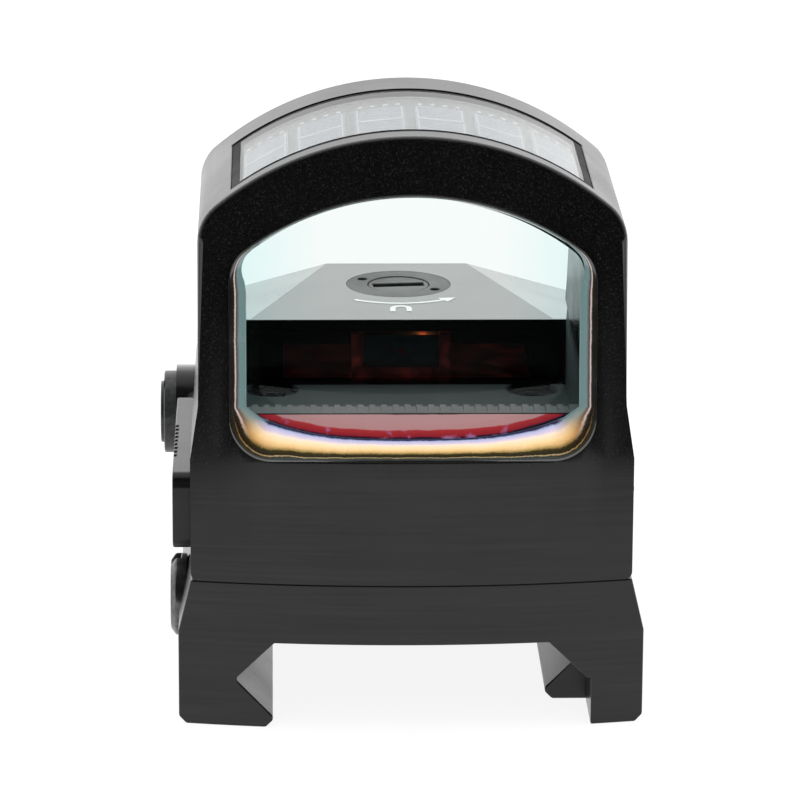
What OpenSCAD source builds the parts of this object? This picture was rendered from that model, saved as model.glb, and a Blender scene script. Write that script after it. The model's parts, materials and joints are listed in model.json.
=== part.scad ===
// Open reflex red dot finder on a low clamp for a slotted dovetail rail.
// Millimetres. +Z up, -Y is the objective (lens) side, +X is the right as seen from the lens side.
// The origin lies on the rail's top plane, on the rail's centre line, midway between the clamp bolts.

/* [Body] */
// Width of the lower body
body_w = 29.9; // [28.6:0.1:36]
// Length of the body from the front face to the rear
body_len = 45; // [45:0.5:54]
// Height of the upright lower sides above the joint with the mount
side_h = 8.5; // [8.5:0.1:9.5]
// Height over which the sides draw in to the hood
flare_h = 3.6; // [2:0.1:5]
// Width of the hood
hood_w = 28.8; // [27.8:0.1:34]
// Height of the hood's crown above the joint with the mount
hood_top = 30.3; // [29.5:0.1:36.5]
// Length of the hood from the foot of the front face
hood_len = 22.1; // [20.6:0.1:24]
// Radius of the hood's arched roof
arch_r = 20.5; // [19:0.1:26]
// Radius that joins the roof to the hood's sides
shoulder_r = 3.2; // [2:0.1:4.5]
// Radius of the front face seen from above
front_r = 80; // [60:1:200]
// Backward lean of the front face above the lower body, in degrees
front_lean = 7.7; // [4:0.1:10]
// Radius of the body's and the feet's lower corners
foot_r = 0.5; // [0.2:0.1:1]

/* [Window] */
// Width of the window
window_w = 24.6; // [22:0.1:25]
// Height of the window measured along the leaning face
window_h = 17.9; // [15:0.1:18.5]
// Height of the window's sill above the foot of the leaning face
sill_h = 0.2; // [0.1:0.1:1]
// Radius of the window's arched top
window_arch_r = 19.1; // [16:0.1:24]
// Radius of the window's upper corners
window_top_r = 2.6; // [1.5:0.1:4]
// Radius of the window's lower corners
window_foot_r = 2.9; // [1.5:0.1:4]
// Depth of the lens behind the front face
lens_inset = 0.7; // [0.4:0.1:1.5]
// Thickness of the cemented lens
lens_t = 4.3; // [3:0.1:5]
// Radius of the coated surface inside the lens
mirror_r = 60; // [50:1:90]
// Gap of the sealant around the lens
sealant_gap = 0.15; // [0.1:0.01:0.3]
// Step that the lens is pushed back against
lens_ledge = 0.6; // [0.3:0.1:1]
// Height of the toothed ledge behind the lens above the foot of the leaning face
lens_stop_h = 2.2; // [1.4:0.1:2.4]

/* [Deck] */
// Height of the deck above the joint with the mount
deck_h = 11.05; // [10.8:0.05:11.5]
// Distance of the deck's front edge behind the front face
deck_front = 28.5; // [27.5:0.1:29]
// Thickness of the deck over the emitter bay
deck_t = 0.85; // [0.6:0.05:1]
// Height of the floor between the lens and the deck
floor_h = 6.2; // [6:0.1:6.4]
// Half width of the emitter bay
bay_half_w = 11.9; // [11.6:0.1:12.2]
// Half width of the deck's level middle
deck_flat = 5.3; // [4.5:0.1:7]
// Fall of the deck's shoulders from the middle to the side
shoulder_fall = 3.2; // [2:0.1:3.4]
// Slope of the shoulders towards the rear, in degrees
shoulder_slope = 5.5; // [4:0.1:6]

/* [Solar panel] */
// Distance of the panel's recess behind the front face
panel_front = 4.9; // [4.5:0.1:6]
// Length of the recess along the body
panel_len = 13.4; // [11.5:0.1:14]
// Half of the recess's arc, in degrees
panel_half_arc = 36.5; // [34:0.5:37.5]
// Depth of the recess
panel_depth = 1.7; // [1.6:0.05:1.9]
// Number of solar cells
cell_count = 6; // [4:1:6]
// Width of a solar cell
cell_w = 3.35; // [2.5:0.05:3.4]
// Pitch of the solar cells
cell_pitch = 3.98; // [3.7:0.01:4]
// Length of a solar cell along the body
cell_len = 7.8; // [6:0.1:8.2]
// Width of the gasket round the panel's cover
gasket_w = 0.7; // [0.4:0.1:0.7]
// Thickness of the panel's clear cover
cover_t = 0.65; // [0.4:0.05:0.7]

/* [Adjusters] */
// Distance of the elevation screw behind the front face
elevation_d = 38.8; // [38.4:0.1:39]
// Radius of the elevation retaining ring
elevation_ring_r = 3.9; // [3.7:0.1:4.2]
// Distance of the windage screw behind the front face
windage_d = 30.5; // [30.4:0.1:30.8]
// Height of the windage screw above the joint with the mount
windage_h = 3.5; // [3.5:0.05:3.6]
// Radius of the windage boss on the body's side
windage_boss_r = 3.45; // [3.3:0.05:3.5]
// Radius of the windage retaining ring
windage_ring_r = 3.0; // [2.9:0.05:3.2]
// Radius of both screws' slotted heads
adjuster_head_r = 2.25; // [2.1:0.05:2.4]
// Radius of both screws' shanks
adjuster_r = 1.0; // [0.8:0.05:1]
// Running clearance of the shanks
run_gap = 0.05; // [0.02:0.01:0.08]

/* [Battery] */
// Diameter of the button cell
cell_d = 16; // [14:0.1:16]
// Thickness of the button cell
cell_t = 3.2; // [2:0.1:3.2]
// Clearance of the tray in its bay
tray_gap = 0.1; // [0.08:0.01:0.15]
// Thickness of the tray's outer plate
tray_plate_t = 1.3; // [1:0.1:1.6]

/* [Buttons] */
// Radius of a brightness button
button_r = 1.9; // [1.5:0.1:2]
// Distance between the two buttons
button_pitch = 7; // [6:0.1:8]
// Height that a button stands out of the body's side
button_proud = 0.6; // [0.4:0.1:1]
// Gap around a button
button_gap = 0.06; // [0.05:0.01:0.1]

/* [Rail mount] */
// Thickness of the mount over the rail's top
web_t = 2.85; // [2.8:0.05:4]
// Width of the rail between the tips of its 45 degree flanks
rail_tip_w = 23.94; // [23.6:0.02:24.2]
// Width of the rail's flat top
rail_top_w = 15.67; // [15.4:0.01:15.9]
// Pitch of the rail's cross grooves
groove_pitch = 10.01; // [10:0.01:10.02]
// Width across the mount's feet
mount_w = 31.66; // [31:0.02:34]
// Depth of the feet below the rail's top
foot_depth = 7.45; // [7.2:0.05:9]
// Distance of the first clamp bolt behind the front face
first_bolt = 10; // [9.6:0.1:10.4]
// Radius of a clamp bolt
bolt_r = 1.9; // [1.6:0.05:1.95]
// Radius of a clamp bolt's head
bolt_head_r = 2.85; // [2.4:0.05:3]
// Height of a clamp bolt's axis below the rail's top
bolt_drop = 0.95; // [0.9:0.01:1]
// Depth of the recoil lug below the rail's top
lug_depth = 1.42; // [1:0.02:2.5]
// Distance of the clamp jaw behind the front face
jaw_front = 6.2; // [5.4:0.1:6.6]
// Length of the mount
mount_len = 44; // [43.6:0.1:45]
// Distance between the two screws that hold the sight on the mount
sight_screw_pitch = 18.8; // [18.4:0.1:19.2]
// Distance of these screws behind the front face
sight_screw_d = 27.1; // [27:0.05:27.2]
// Radius of the shank of these screws
sight_screw_r = 1.2; // [1:0.05:1.2]

/* [Hidden] */
$fn = 64;
arc_steps = 24;
corner_steps = 6;
eps = 0.02;
joint_z = web_t;
bolt_span = 3 * groove_pitch;
front_y = -(first_bolt + bolt_span / 2);
rear_y = front_y + body_len;
half_w = body_w / 2;
hood_half = hood_w / 2;
half_mount = mount_w / 2;
hood_rear_y = front_y + hood_len;
flare_z = joint_z + side_h;
deck_z = joint_z + deck_h;
floor_z = joint_z + floor_h;
bay_top_z = deck_z - deck_t;
arch_z = joint_z + hood_top - arch_r;
deck_front_y = front_y + deck_front;
lens_back = lens_inset + lens_t;
ledge_y1 = front_y + lens_back + 2.5;
tunnel_drop = 0.8;
ledge_tooth_pitch = 0.8;
ledge_teeth = floor((2 * bay_half_w - 1) / ledge_tooth_pitch);
ledge_tooth_x0 = -ledge_teeth * ledge_tooth_pitch / 2;
window_half = window_w / 2;
wall = 0.8;
over = 2;

// Solar module, in radii from the roof's axis
panel_floor_r = arch_r - panel_depth;
board_t = 0.6;
cell_thick = 0.25;
cells_r = panel_floor_r + board_t + 0.05;
cover_r = arch_r - 0.05;
panel_y0 = front_y + panel_front;
panel_y1 = panel_y0 + panel_len;
gasket_arc = gasket_w / arch_r * 180 / PI;
cell_arc = cell_w / cells_r * 180 / PI;
pitch_arc = cell_pitch / cells_r * 180 / PI;
flex_w = 1.8;
flex_t = 0.2;
flex_gap = 0.1;
flex_x = hood_half - 1.2;

// Battery bay and tray
bay_low = joint_z + 1.05;
bay_high = floor_z - 0.7;
bay_y0 = front_y + 8.4;
bay_y1 = bay_y0 + cell_d + 0.6;
battery_y = (bay_y0 + bay_y1) / 2;
battery_x = -half_w + 0.65 + cell_d / 2;
bay_x1 = battery_x + cell_d / 2 + 0.7;
tray_floor_t = 0.65;
cell_low = bay_low + tray_gap + tray_floor_t;
tray_wall_h = 2.5;
plate_y0 = front_y + 5.4;
plate_y1 = bay_y1 + 0.6;
plate_low = joint_z + 0.8;
plate_high = joint_z + 6.2;
seal_t = 0.5;
seal_w = 0.4;
tray_screw_y = front_y + 7;
tray_screw_z = joint_z + 3.5;
tray_screw_r = 0.7;
tray_screw_head_r = 1.3;

// Electronics
board_x0 = bay_x1 + 2.1;
board_x1 = half_w - 3.6;
board_y0 = front_y + 5.8;
board_y1 = front_y + 23.2;
board_z = joint_z + 1.5;
electronics_x0 = bay_x1 + 1.8;
electronics_x1 = half_w - 1.95;
electronics_y0 = front_y + 5;
electronics_y1 = front_y + 23.8;
passage_w = 2.6;
plate_t = 0.8;
bottom_seal_t = 0.2;
bottom_z = joint_z + plate_t + bottom_seal_t;
ledge = 0.9;
board_posts = [[board_x0 + 1.5, board_y0 + 2.2], [board_x1 - 1.5, board_y1 - 2.2]];
board_hole_r = 0.4;
post_r = 1;
button_y = front_y + 14.5;
button_z = joint_z + 3.7;
flex_y = button_y - flex_w / 2;
flex_low = bay_high - 2.4;
flex_high = arch_z + 14.3;
button_flange_r = button_r + 0.5;
button_pocket_x = half_w - 0.65;
button_travel = 0.3;
button_stem_r = 0.6;
button_board_x = half_w - 3.25;
dome_x = button_board_x + 0.5;
dome_t = 0.4;
boot_t = 0.3;

// Emitter module
cavity_y0 = deck_front_y;
cavity_y1 = front_y + 43;
shelf_y1 = front_y + 30.1;
shelf_t = 0.6;
pane_y = front_y + 29.3;
pane_t = 0.7;
pane_gap = 0.08;
windage_y = front_y + windage_d;
windage_z = joint_z + windage_h;
elevation_y = front_y + elevation_d;
carriage_half = 3.6;
carriage_front = front_y + 31.6;
carriage_back = front_y + 34;
carriage_low = joint_z + 1.6;
carriage_high = bay_top_z - 0.6;
fork_x0 = -7.4;
fork_wall = 0.65;
nut_x0 = fork_x0 + fork_wall + 0.1;
nut_x1 = nut_x0 + 2;
nut_half = 1.6;
fork_high = joint_z + 5.2;
rib_low = joint_z + 2.9;
rib_h = 1.4;
rib_depth = 1.6;
carrier_x0 = -8.6;
carrier_x1 = 9.6;
carrier_low = joint_z + 1.3;
carrier_high = joint_z + 5.4;
arm_t = 1.4;
boss_low = joint_z + 7.8;
elevation_boss_r = 4.6;
adjuster_flange_t = 0.7;
emitter_z = joint_z + 8.2;
spring_wire_r = 0.2;

// Windage turret, in distances outwards from the body's side
boss_proud = 1.45;
ring_proud = 2.35;
head_proud = 2.65;
ring_depth = 0.45;
flange_r = windage_ring_r - 0.25;
oring_r = adjuster_r + 0.8;
oring_depth = 0.72;

// Mount
bolt_z = -bolt_drop;
bolt_ys = [-bolt_span / 2, bolt_span / 2];
bolt_seat = 0.5;
bolt_head_proud = 0.65;
channel_r = bolt_r + 0.1;
bolt_groove_top = 0.3;
mount_y1 = front_y + mount_len;
jaw_y0 = front_y + jaw_front;
jaw_y1 = mount_y1;
rail_half = rail_top_w / 2 + 0.06;
tip_half = rail_tip_w / 2;
lip_half = 9.42;
slot_half = 9.42;
chamfer_low = -0.85;
tip_flat = 0.12;
jaw_inner = tip_half - 0.77;
jaw_gap = 0.15;
foot_wall_x = tip_half + 0.28;
jaw_top = web_t - 1.65;
flank_low = -(tip_half - rail_half);
lug_t = groove_pitch / 4;
thread_low = 0.3;
screw_head_r = 1.8;
screw_seat = joint_z + 4.2;
screw_head_t = 1.6;
column_r = sight_screw_r + 1;
pin_r = 1.25;
pin_x = 7;
pin_y = front_y + 2.6;
pin_low = web_t - 1.8;
pin_high = joint_z + 1.6;
screw_xs = [-sight_screw_pitch / 2, sight_screw_pitch / 2];
screw_y = front_y + sight_screw_d;
plate_screws = [[electronics_x1 - 0.9, front_y + 5.9], [electronics_x1 - 0.9, electronics_y1 - 0.5],
                [-bay_half_w + 0.8, cavity_y1 - 0.8], [bay_half_w - 0.8, cavity_y1 - 0.8]];
plate_screw_r = 0.45;
plate_screw_head_r = 0.85;

// Clearances: round a part that is put in, and a film between parts that are pressed together
slip = 0.1;
film = 0.02;
touch = 0.05;
lens_split = lens_inset + 1.3;
pane_corner_r = 0.8;
brow_drop = 6;
brow_step = [1.2, 5.5];
brow_foot = [3.6, 3.4];
ring_t = 1.1;
flange_seat = ring_t + 0.05;
oring_groove = 2.7;
oring_wire_r = 0.35;
oring_r0 = adjuster_r + 0.4;
detent_r = 0.3;
detent_bore_r = 0.32;
detent_depth = 1.2;
detent_x = 2.7;
detent_z = windage_z + 2.3;
slot_depth = 0.6;
slot_rim = 0.35;
driver_slot = 0.5;
spanner_r = 0.35;
mark_half = 0.9;
mark_line = 0.2;
dome_r = 1.4;
dome_ball_r = 3;
button_board_half = 7.3;
solder_w = 1.6;
strip_t = 0.12;
diode_half = 0.8;
mask_half = [2.8, 1.2];
mask_hole_r = 0.25;
emitter_board_half = [2.7, 1.3];
contact_r = 0.45;
contact_y = battery_y + 1.9;
contact_z = joint_z + 3.4;
tray_head_depth = 0.8;
rib_pitch = 0.9;
rib_start = 4.6;
rib_gap = 0.4;
guard_low = joint_z + 0.6;
guard_high = joint_z + 6.4;

black = [0.07, 0.07, 0.075];
steel = [0.6, 0.6, 0.62];
glass_tint = [0.75, 0.88, 0.88];
rubber = [0.05, 0.05, 0.05];
copper = [0.8, 0.55, 0.3];
board_green = [0.1, 0.3, 0.18];

// Points of an arc, from one angle to another
function arc(c, r, a0, a1, n) =
    [for (i = [0:n]) c + r * [cos(a0 + (a1 - a0) * i / n), sin(a0 + (a1 - a0) * i / n)]];

function mirrored(points) = [for (i = [len(points) - 1:-1:0]) [-points[i][0], points[i][1]]];

// Right half of an arched top: a large roof arc that runs into upright sides through a corner arc
function arch_half(half, top, big_r, corner_r) =
    let (cx = half - corner_r, cz = top - big_r + sqrt(pow(big_r - corner_r, 2) - cx * cx),
         a = atan2(cz - top + big_r, cx))
    concat(arc([cx, cz], corner_r, 0, a, corner_steps),
           arc([0, top - big_r], big_r, a, 90, arc_steps));

// Extrudes an outline drawn in X and Z along the Y axis
module along_y(y0, y1) {
    translate([0, y1, 0]) rotate([90, 0, 0]) linear_extrude(y1 - y0) children();
}

// Extrudes an outline drawn in Y and Z along the X axis
module along_x(x0, x1) {
    translate([x0, 0, 0]) rotate([90, 0, 90]) linear_extrude(x1 - x0) children();
}

module block(low, high) {
    translate(low) cube([high[0] - low[0], high[1] - low[1], high[2] - low[2]]);
}

module rod_x(r, x0, x1, y, z) {
    translate([x0, y, z]) rotate([0, 90, 0]) cylinder(r = r, h = x1 - x0);
}

module rod_z(r, z0, z1, x, y) {
    translate([x, y, z0]) cylinder(r = r, h = z1 - z0);
}

module rounded_rect(low, high, r) {
    polygon(concat(arc([high[0] - r, high[1] - r], r, 0, 90, corner_steps),
                   arc([low[0] + r, high[1] - r], r, 90, 180, corner_steps),
                   arc([low[0] + r, low[1] + r], r, 180, 270, corner_steps),
                   arc([high[0] - r, low[1] + r], r, 270, 360, corner_steps)));
}

// Slab bent round the roof's axis
module roof_slab(r0, r1, centre_arc, half_arc, y0, y1) {
    translate([0, y1, arch_z]) rotate([90, 0, 0])
        rotate([0, 0, 90 - centre_arc - half_arc])
            rotate_extrude(angle = 2 * half_arc) translate([r0, 0]) square([r1 - r0, y1 - y0]);
}

// Frame of the leaning front face: local Y runs into the body, local Z up along the face
module leaning() {
    translate([0, front_y, flare_z]) rotate([-front_lean, 0, 0]) children();
}

module window_outline(grow) {
    top = sill_h + window_h + grow;
    low = sill_h - grow;
    half = window_half + grow;
    foot = window_foot_r + grow;
    right = concat(arc([half - foot, low + foot], foot, -90, 0, corner_steps),
                   arch_half(half, top, window_arch_r + grow, window_top_r + grow));
    polygon(concat(right, mirrored(right)));
}

module body_outline() {
    right = concat(arc([half_w - foot_r, joint_z + foot_r], foot_r, -90, 0, corner_steps),
                   [[half_w, flare_z], [hood_half, flare_z + flare_h]],
                   arch_half(hood_half, joint_z + hood_top, arch_r, shoulder_r));
    polygon(concat(right, mirrored(right)));
}

// Everything behind the curved front face, upright below and leaning back above
module behind_front() {
    intersection() {
        translate([0, front_y + front_r, joint_z - over])
            cylinder(r = front_r, h = hood_top + 2 * over, $fn = 360);
        leaning() translate([0, front_r, -hood_top])
            cylinder(r = front_r, h = 2 * hood_top, $fn = 360);
    }
}

// Space above the deck behind the hood, with the hood's side walls sloping down to it
module above_deck() {
    slope_top = joint_z + hood_top - brow_drop;
    along_x(-body_w, body_w)
        polygon([[hood_rear_y, joint_z + hood_top + over], [hood_rear_y, slope_top],
                 [hood_rear_y + brow_step[0], slope_top - brow_step[1]],
                 [hood_rear_y + brow_foot[0], deck_z + brow_foot[1]],
                 [deck_front_y, deck_z], [rear_y + over, deck_z],
                 [rear_y + over, joint_z + hood_top + over]]);
    above_shoulders(deck_front_y + 0.3);
}

// Space above the deck's two shoulders, which fall away to the sides and to the rear
module above_shoulders(start) {
    for (side = [-1, 1])
        translate([0, rear_y, deck_z]) rotate([-shoulder_slope, 0, 0]) along_y(start - rear_y, over)
            polygon([[side * deck_flat, 0], [side * (half_w + over), -shoulder_fall],
                     [side * (half_w + over), over], [side * deck_flat, over]]);
}

module electronics_space(low, high) {
    block([electronics_x0, electronics_y0, low], [electronics_x1, electronics_y1, high]);
    block([electronics_x0, electronics_y1 - 1, low], [electronics_x0 + passage_w, cavity_y0 + 1, high]);
}

module emitter_space() {
    difference() {
        block([-bay_half_w, shelf_y1, joint_z - over], [bay_half_w, cavity_y1, bay_top_z]);
        translate([0, 0, -deck_t]) above_shoulders(deck_front_y - over);
    }
    block([-bay_half_w, cavity_y0, joint_z - over], [bay_half_w, shelf_y1 + 1, floor_z - shelf_t]);
    along_y(ledge_y1, shelf_y1 + 0.2)
        rounded_rect([-bay_half_w, floor_z], [bay_half_w, bay_top_z], pane_corner_r);
}

// Area that the bottom plate covers, larger than the cavities by its ledge
module plate_area(grow) {
    difference() {
        union() {
            translate([electronics_x0 - grow, electronics_y0 - grow])
                square([electronics_x1 - electronics_x0 + 2 * grow,
                        electronics_y1 - electronics_y0 + 2 * grow]);
            translate([electronics_x0 - grow, electronics_y1 - 1])
                square([passage_w + 2 * grow, cavity_y0 - electronics_y1 + 2]);
            translate([-bay_half_w - grow, cavity_y0 - grow])
                square([2 * (bay_half_w + grow), cavity_y1 - cavity_y0 + 2 * grow]);
        }
        for (x = screw_xs) translate([x, screw_y]) circle(r = column_r + ledge - grow);
    }
}

module windage_bore() {
    x = -half_w;
    rod_x(windage_ring_r, x - ring_proud - 1, x - ring_depth, windage_y, windage_z);
    rod_x(flange_r + run_gap, x - ring_depth - 1, x - ring_depth + adjuster_flange_t + 2 * run_gap,
          windage_y, windage_z);
    rod_x(oring_r + run_gap, x - ring_depth, x + oring_depth + 0.43, windage_y, windage_z);
    rod_x(adjuster_r + run_gap, x - 1, -bay_half_w + 1, windage_y, windage_z);
}

module elevation_bore() {
    rod_z(elevation_ring_r, deck_z - ring_t, deck_z + 1, 0, elevation_y);
    rod_z(elevation_ring_r - 0.4, deck_z - 1.9, deck_z, 0, elevation_y);
    rod_z(oring_r + run_gap, deck_z - oring_groove, deck_z, 0, elevation_y);
    rod_z(adjuster_r + run_gap, boss_low - 1, deck_z, 0, elevation_y);
}

module housing() {
    color(black) difference() {
        union() {
            intersection() {
                along_y(front_y - over, rear_y) body_outline();
                difference() {
                    behind_front();
                    above_deck();
                }
            }
            rod_x(windage_boss_r, -half_w - boss_proud, -half_w + 1, windage_y, windage_z);
            guard();
        }
        leaning() along_y(-over, lens_back) window_outline(0);
        translate([0, 0, flare_z - tunnel_drop]) along_y(front_y + lens_t, deck_front_y) intersection() {
            window_outline(-lens_ledge);
            translate([-window_w, lens_stop_h + tunnel_drop]) square([2 * window_w, window_h]);
        }
        block([-bay_half_w, ledge_y1, floor_z], [bay_half_w, deck_front_y, deck_z + over]);
        for (i = [0:ledge_teeth - 1])
            block([ledge_tooth_x0 + i * ledge_tooth_pitch, ledge_y1 - 1.6, flare_z + lens_stop_h - 0.15],
                  [ledge_tooth_x0 + (i + 0.5) * ledge_tooth_pitch, ledge_y1 + 1,
                   flare_z + lens_stop_h + slip]);
        roof_slab(panel_floor_r, arch_r + over, 0, panel_half_arc, panel_y0, panel_y1);
        difference() {
            union() {
                emitter_space();
                electronics_space(joint_z - over, bay_high);
            }
            rod_z(elevation_boss_r, boss_low, deck_z, 0, elevation_y);
            for (p = board_posts) rod_z(post_r, board_z + board_t, deck_z, p[0], p[1]);
            for (p = plate_screws) rod_z(post_r, bottom_z, bay_top_z + 0.2, p[0], p[1]);
            for (x = screw_xs) rod_z(column_r, joint_z, floor_z, x, screw_y);
        }
        translate([0, 0, joint_z - over]) linear_extrude(bottom_z - joint_z + over) plate_area(ledge);
        block([-half_w - over, bay_y0, bay_low], [bay_x1, bay_y1, bay_high]);
        block([-half_w - over, bay_y0 - seal_w, bay_low - seal_w],
              [-half_w + seal_t, bay_y1 + seal_w, bay_high + seal_w]);
        rod_x(tray_screw_r + run_gap, -half_w - over, -half_w + 3, tray_screw_y, tray_screw_z);
        windage_bore();
        elevation_bore();
        for (x = screw_xs) {
            rod_z(sight_screw_r + slip, joint_z - over, floor_z, x, screw_y);
            rod_z(screw_head_r + slip, screw_seat, floor_z + 2, x, screw_y);
        }
        for (x = [-pin_x, pin_x]) rod_z(pin_r + run_gap, joint_z - over, pin_high + slip, x, pin_y);
        for (p = board_posts) rod_z(board_hole_r, board_z, board_z + 2, p[0], p[1]);
        for (p = plate_screws) rod_z(plate_screw_r, joint_z, joint_z + 3, p[0], p[1]);
        for (y = [button_y - button_pitch / 2, button_y + button_pitch / 2]) {
            rod_x(button_r + button_gap, half_w - 3, half_w + over, y, button_z);
            rod_x(button_flange_r + slip, electronics_x1 - 1, button_pocket_x, y, button_z);
        }
        battery_slots(slip);
        block([flex_x - flex_gap, flex_y - flex_gap, flex_low - flex_gap],
              [flex_x + flex_t + flex_gap, flex_y + flex_w + flex_gap, flex_high - flex_gap]);
        block([electronics_x1 - 1, flex_y - flex_gap, flex_low - flex_gap],
              [flex_x + flex_t, flex_y + flex_w + flex_gap, bay_high]);
        detent_bore_z();
        detent_bore_x();
    }
}

// Ridge that shields the windage turret from the front
module guard() {
    along_y(bay_y1 + 1, windage_y - 1)
        polygon([[-half_w + 1, guard_low], [-half_w - 1, guard_low + 0.2],
                 [-half_w - boss_proud, guard_low + 1], [-half_w - boss_proud, guard_low + 2.4],
                 [-half_w - 0.6, guard_high - 0.8], [-half_w + 1, guard_high]]);
}

module lens_front() {
    color(glass_tint, 0.4) leaning() difference() {
        along_y(lens_inset, lens_back) window_outline(-sealant_gap);
        translate([0, lens_split + mirror_r, window_h / 2]) sphere(r = mirror_r + eps, $fn = 200);
    }
}

module lens_rear() {
    color(glass_tint, 0.4) leaning() intersection() {
        along_y(lens_inset, lens_back) window_outline(-sealant_gap);
        translate([0, lens_split + mirror_r, window_h / 2]) sphere(r = mirror_r, $fn = 200);
    }
}

module lens_sealant() {
    color(rubber) leaning() difference() {
        along_y(lens_inset + slip, lens_back) window_outline(0);
        along_y(0, lens_back + 1) window_outline(-sealant_gap);
    }
}

module solar_cover() {
    color([0.8, 0.85, 0.85], 0.5)
        roof_slab(cover_r - cover_t, cover_r, 0, panel_half_arc - gasket_arc,
                  panel_y0 + gasket_w, panel_y1 - gasket_w);
}

module solar_cells() {
    color([0.12, 0.13, 0.18]) for (i = [0:cell_count - 1])
        roof_slab(cells_r, cells_r + cell_thick, (i - (cell_count - 1) / 2) * pitch_arc, cell_arc / 2,
                  panel_y0 + 1.5, panel_y0 + 1.5 + cell_len);
}

module solar_board() {
    color(board_green)
        roof_slab(panel_floor_r + film, panel_floor_r + board_t, 0, panel_half_arc - 0.5,
                  panel_y0 + slip, panel_y1 - slip);
}

module solar_gasket() {
    color(rubber) difference() {
        roof_slab(panel_floor_r + board_t + film, cover_r - touch, 0, panel_half_arc, panel_y0, panel_y1);
        roof_slab(panel_floor_r, arch_r, 0, panel_half_arc - gasket_arc,
                  panel_y0 + gasket_w, panel_y1 - gasket_w);
    }
}

module solar_flex() {
    color(copper)
        block([flex_x, flex_y, flex_low], [flex_x + flex_t, flex_y + flex_w, flex_high - 2 * flex_gap]);
}

module emitter_window() {
    color(glass_tint, 0.4) along_y(pane_y, pane_y + pane_t)
        rounded_rect([-bay_half_w + pane_gap, floor_z + pane_gap],
                     [bay_half_w - pane_gap, bay_top_z - pane_gap], pane_corner_r);
}

module emitter_carrier() {
    color(steel) difference() {
        union() {
            block([carrier_x0, carriage_back + slip, carrier_low],
                  [carrier_x1, cavity_y1 - slip, carrier_high]);
            block([carrier_x1 - arm_t, shelf_y1 + 0.2, carrier_low + 0.7],
                  [carrier_x1, carriage_back + 0.2, carrier_high]);
        }
        block([carrier_x0 - 1, carriage_back, rib_low - run_gap],
              [carrier_x1 - arm_t, carriage_back + rib_depth + 0.15, rib_low + rib_h + run_gap]);
        rod_z(adjuster_r + run_gap, carrier_low - 1, carrier_high + 1, 0, elevation_y);
    }
}

module emitter_carriage() {
    color(black) difference() {
        union() {
            block([-carriage_half, carriage_front, carriage_low],
                  [carriage_half, carriage_back, carriage_high]);
            block([fork_x0, windage_y + nut_half + touch, carriage_low],
                  [-carriage_half + slip, carriage_back, fork_high]);
            block([fork_x0, carriage_back - slip, rib_low],
                  [carriage_half, carriage_back + rib_depth, rib_low + rib_h]);
            for (x = [fork_x0, nut_x1 + slip])
                block([x, windage_y - nut_half + touch, carriage_low],
                      [x + fork_wall, carriage_back - 1, fork_high]);
            for (side = [-1, 1])
                block([side * carriage_half - (side > 0 ? wall : 0), carriage_front - 1.2, emitter_z - 1.4],
                      [side * carriage_half + (side > 0 ? 0 : wall), carriage_front + slip, carriage_high]);
        }
        rod_x(adjuster_r + 0.6, fork_x0 - 1, nut_x1 + 2, windage_y, windage_z);
    }
}

module emitter_board() {
    color(board_green)
        block([-emitter_board_half[0], carriage_front - 0.4, emitter_z - emitter_board_half[1]],
              [emitter_board_half[0], carriage_front, emitter_z + emitter_board_half[1]]);
}

module emitter_diode() {
    color([0.9, 0.2, 0.15]) union() {
        block([-diode_half, carriage_front - 0.7, emitter_z - 0.6],
              [diode_half, carriage_front - 0.4, emitter_z + 0.6]);
        translate([0, carriage_front - 0.68, emitter_z]) rotate([90, 0, 0]) cylinder(r = 0.4, h = 0.2);
    }
}

module reticle_mask() {
    color([0.15, 0.15, 0.17]) difference() {
        block([-mask_half[0], carriage_front - 1.15, emitter_z - mask_half[1]],
              [mask_half[0], carriage_front - 0.95, emitter_z + mask_half[1]]);
        translate([0, carriage_front, emitter_z]) rotate([90, 0, 0]) cylinder(r = mask_hole_r, h = 3);
    }
}

module emitter_flex() {
    x0 = electronics_x0 + 0.3;
    y0 = electronics_y1 - 1.4;
    y1 = cavity_y0 + 0.3;
    high = floor_z - shelf_t - slip;
    color(copper) along_x(x0, x0 + solder_w)
        polygon([[y0, board_z - strip_t], [y1, board_z - strip_t], [y1, high],
                 [y1 - strip_t, high], [y1 - strip_t, board_z], [y0, board_z]]);
}

module slotted_head(r, h) {
    difference() {
        cylinder(r = r, h = h);
        translate([-r + slot_rim, -driver_slot, h - slot_depth])
            cube([2 * (r - slot_rim), 2 * driver_slot, 1]);
    }
}

module spanner_ring(r, h) {
    difference() {
        cylinder(r = r, h = h);
        translate([0, 0, -1]) cylinder(r = adjuster_head_r + run_gap, h = h + 2);
        for (a = [150, 330])
            rotate([0, 0, a]) translate([(r + adjuster_head_r) / 2, 0, h - slot_depth])
                cylinder(r = spanner_r, h = 1);
    }
}

module elevation_screw() {
    flange_z = deck_z - flange_seat - adjuster_flange_t;
    color(steel) union() {
        rod_z(adjuster_r, joint_z + 1.1, flange_z + slip, 0, elevation_y);
        rod_z(elevation_ring_r - 0.5, flange_z, flange_z + adjuster_flange_t, 0, elevation_y);
        translate([0, elevation_y, flange_z + adjuster_flange_t - slip]) rotate([0, 0, 6])
            slotted_head(adjuster_head_r, 1.2);
    }
}

module elevation_ring() {
    color(black) translate([0, elevation_y, deck_z - ring_t]) spanner_ring(elevation_ring_r, ring_t);
}

module oring() {
    rotate_extrude() translate([oring_r0, 0]) circle(r = oring_wire_r, $fn = 24);
}

module elevation_oring() {
    color(rubber) translate([0, elevation_y, deck_z - 2.3]) oring();
}

module detent(h) {
    union() {
        cylinder(r = detent_r, h = h);
        translate([0, 0, h]) sphere(r = detent_r, $fn = 24);
    }
}

module detent_bore_z() {
    translate([detent_x, elevation_y, deck_z - oring_groove - touch])
        cylinder(r = detent_bore_r, h = detent_depth);
}

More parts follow.
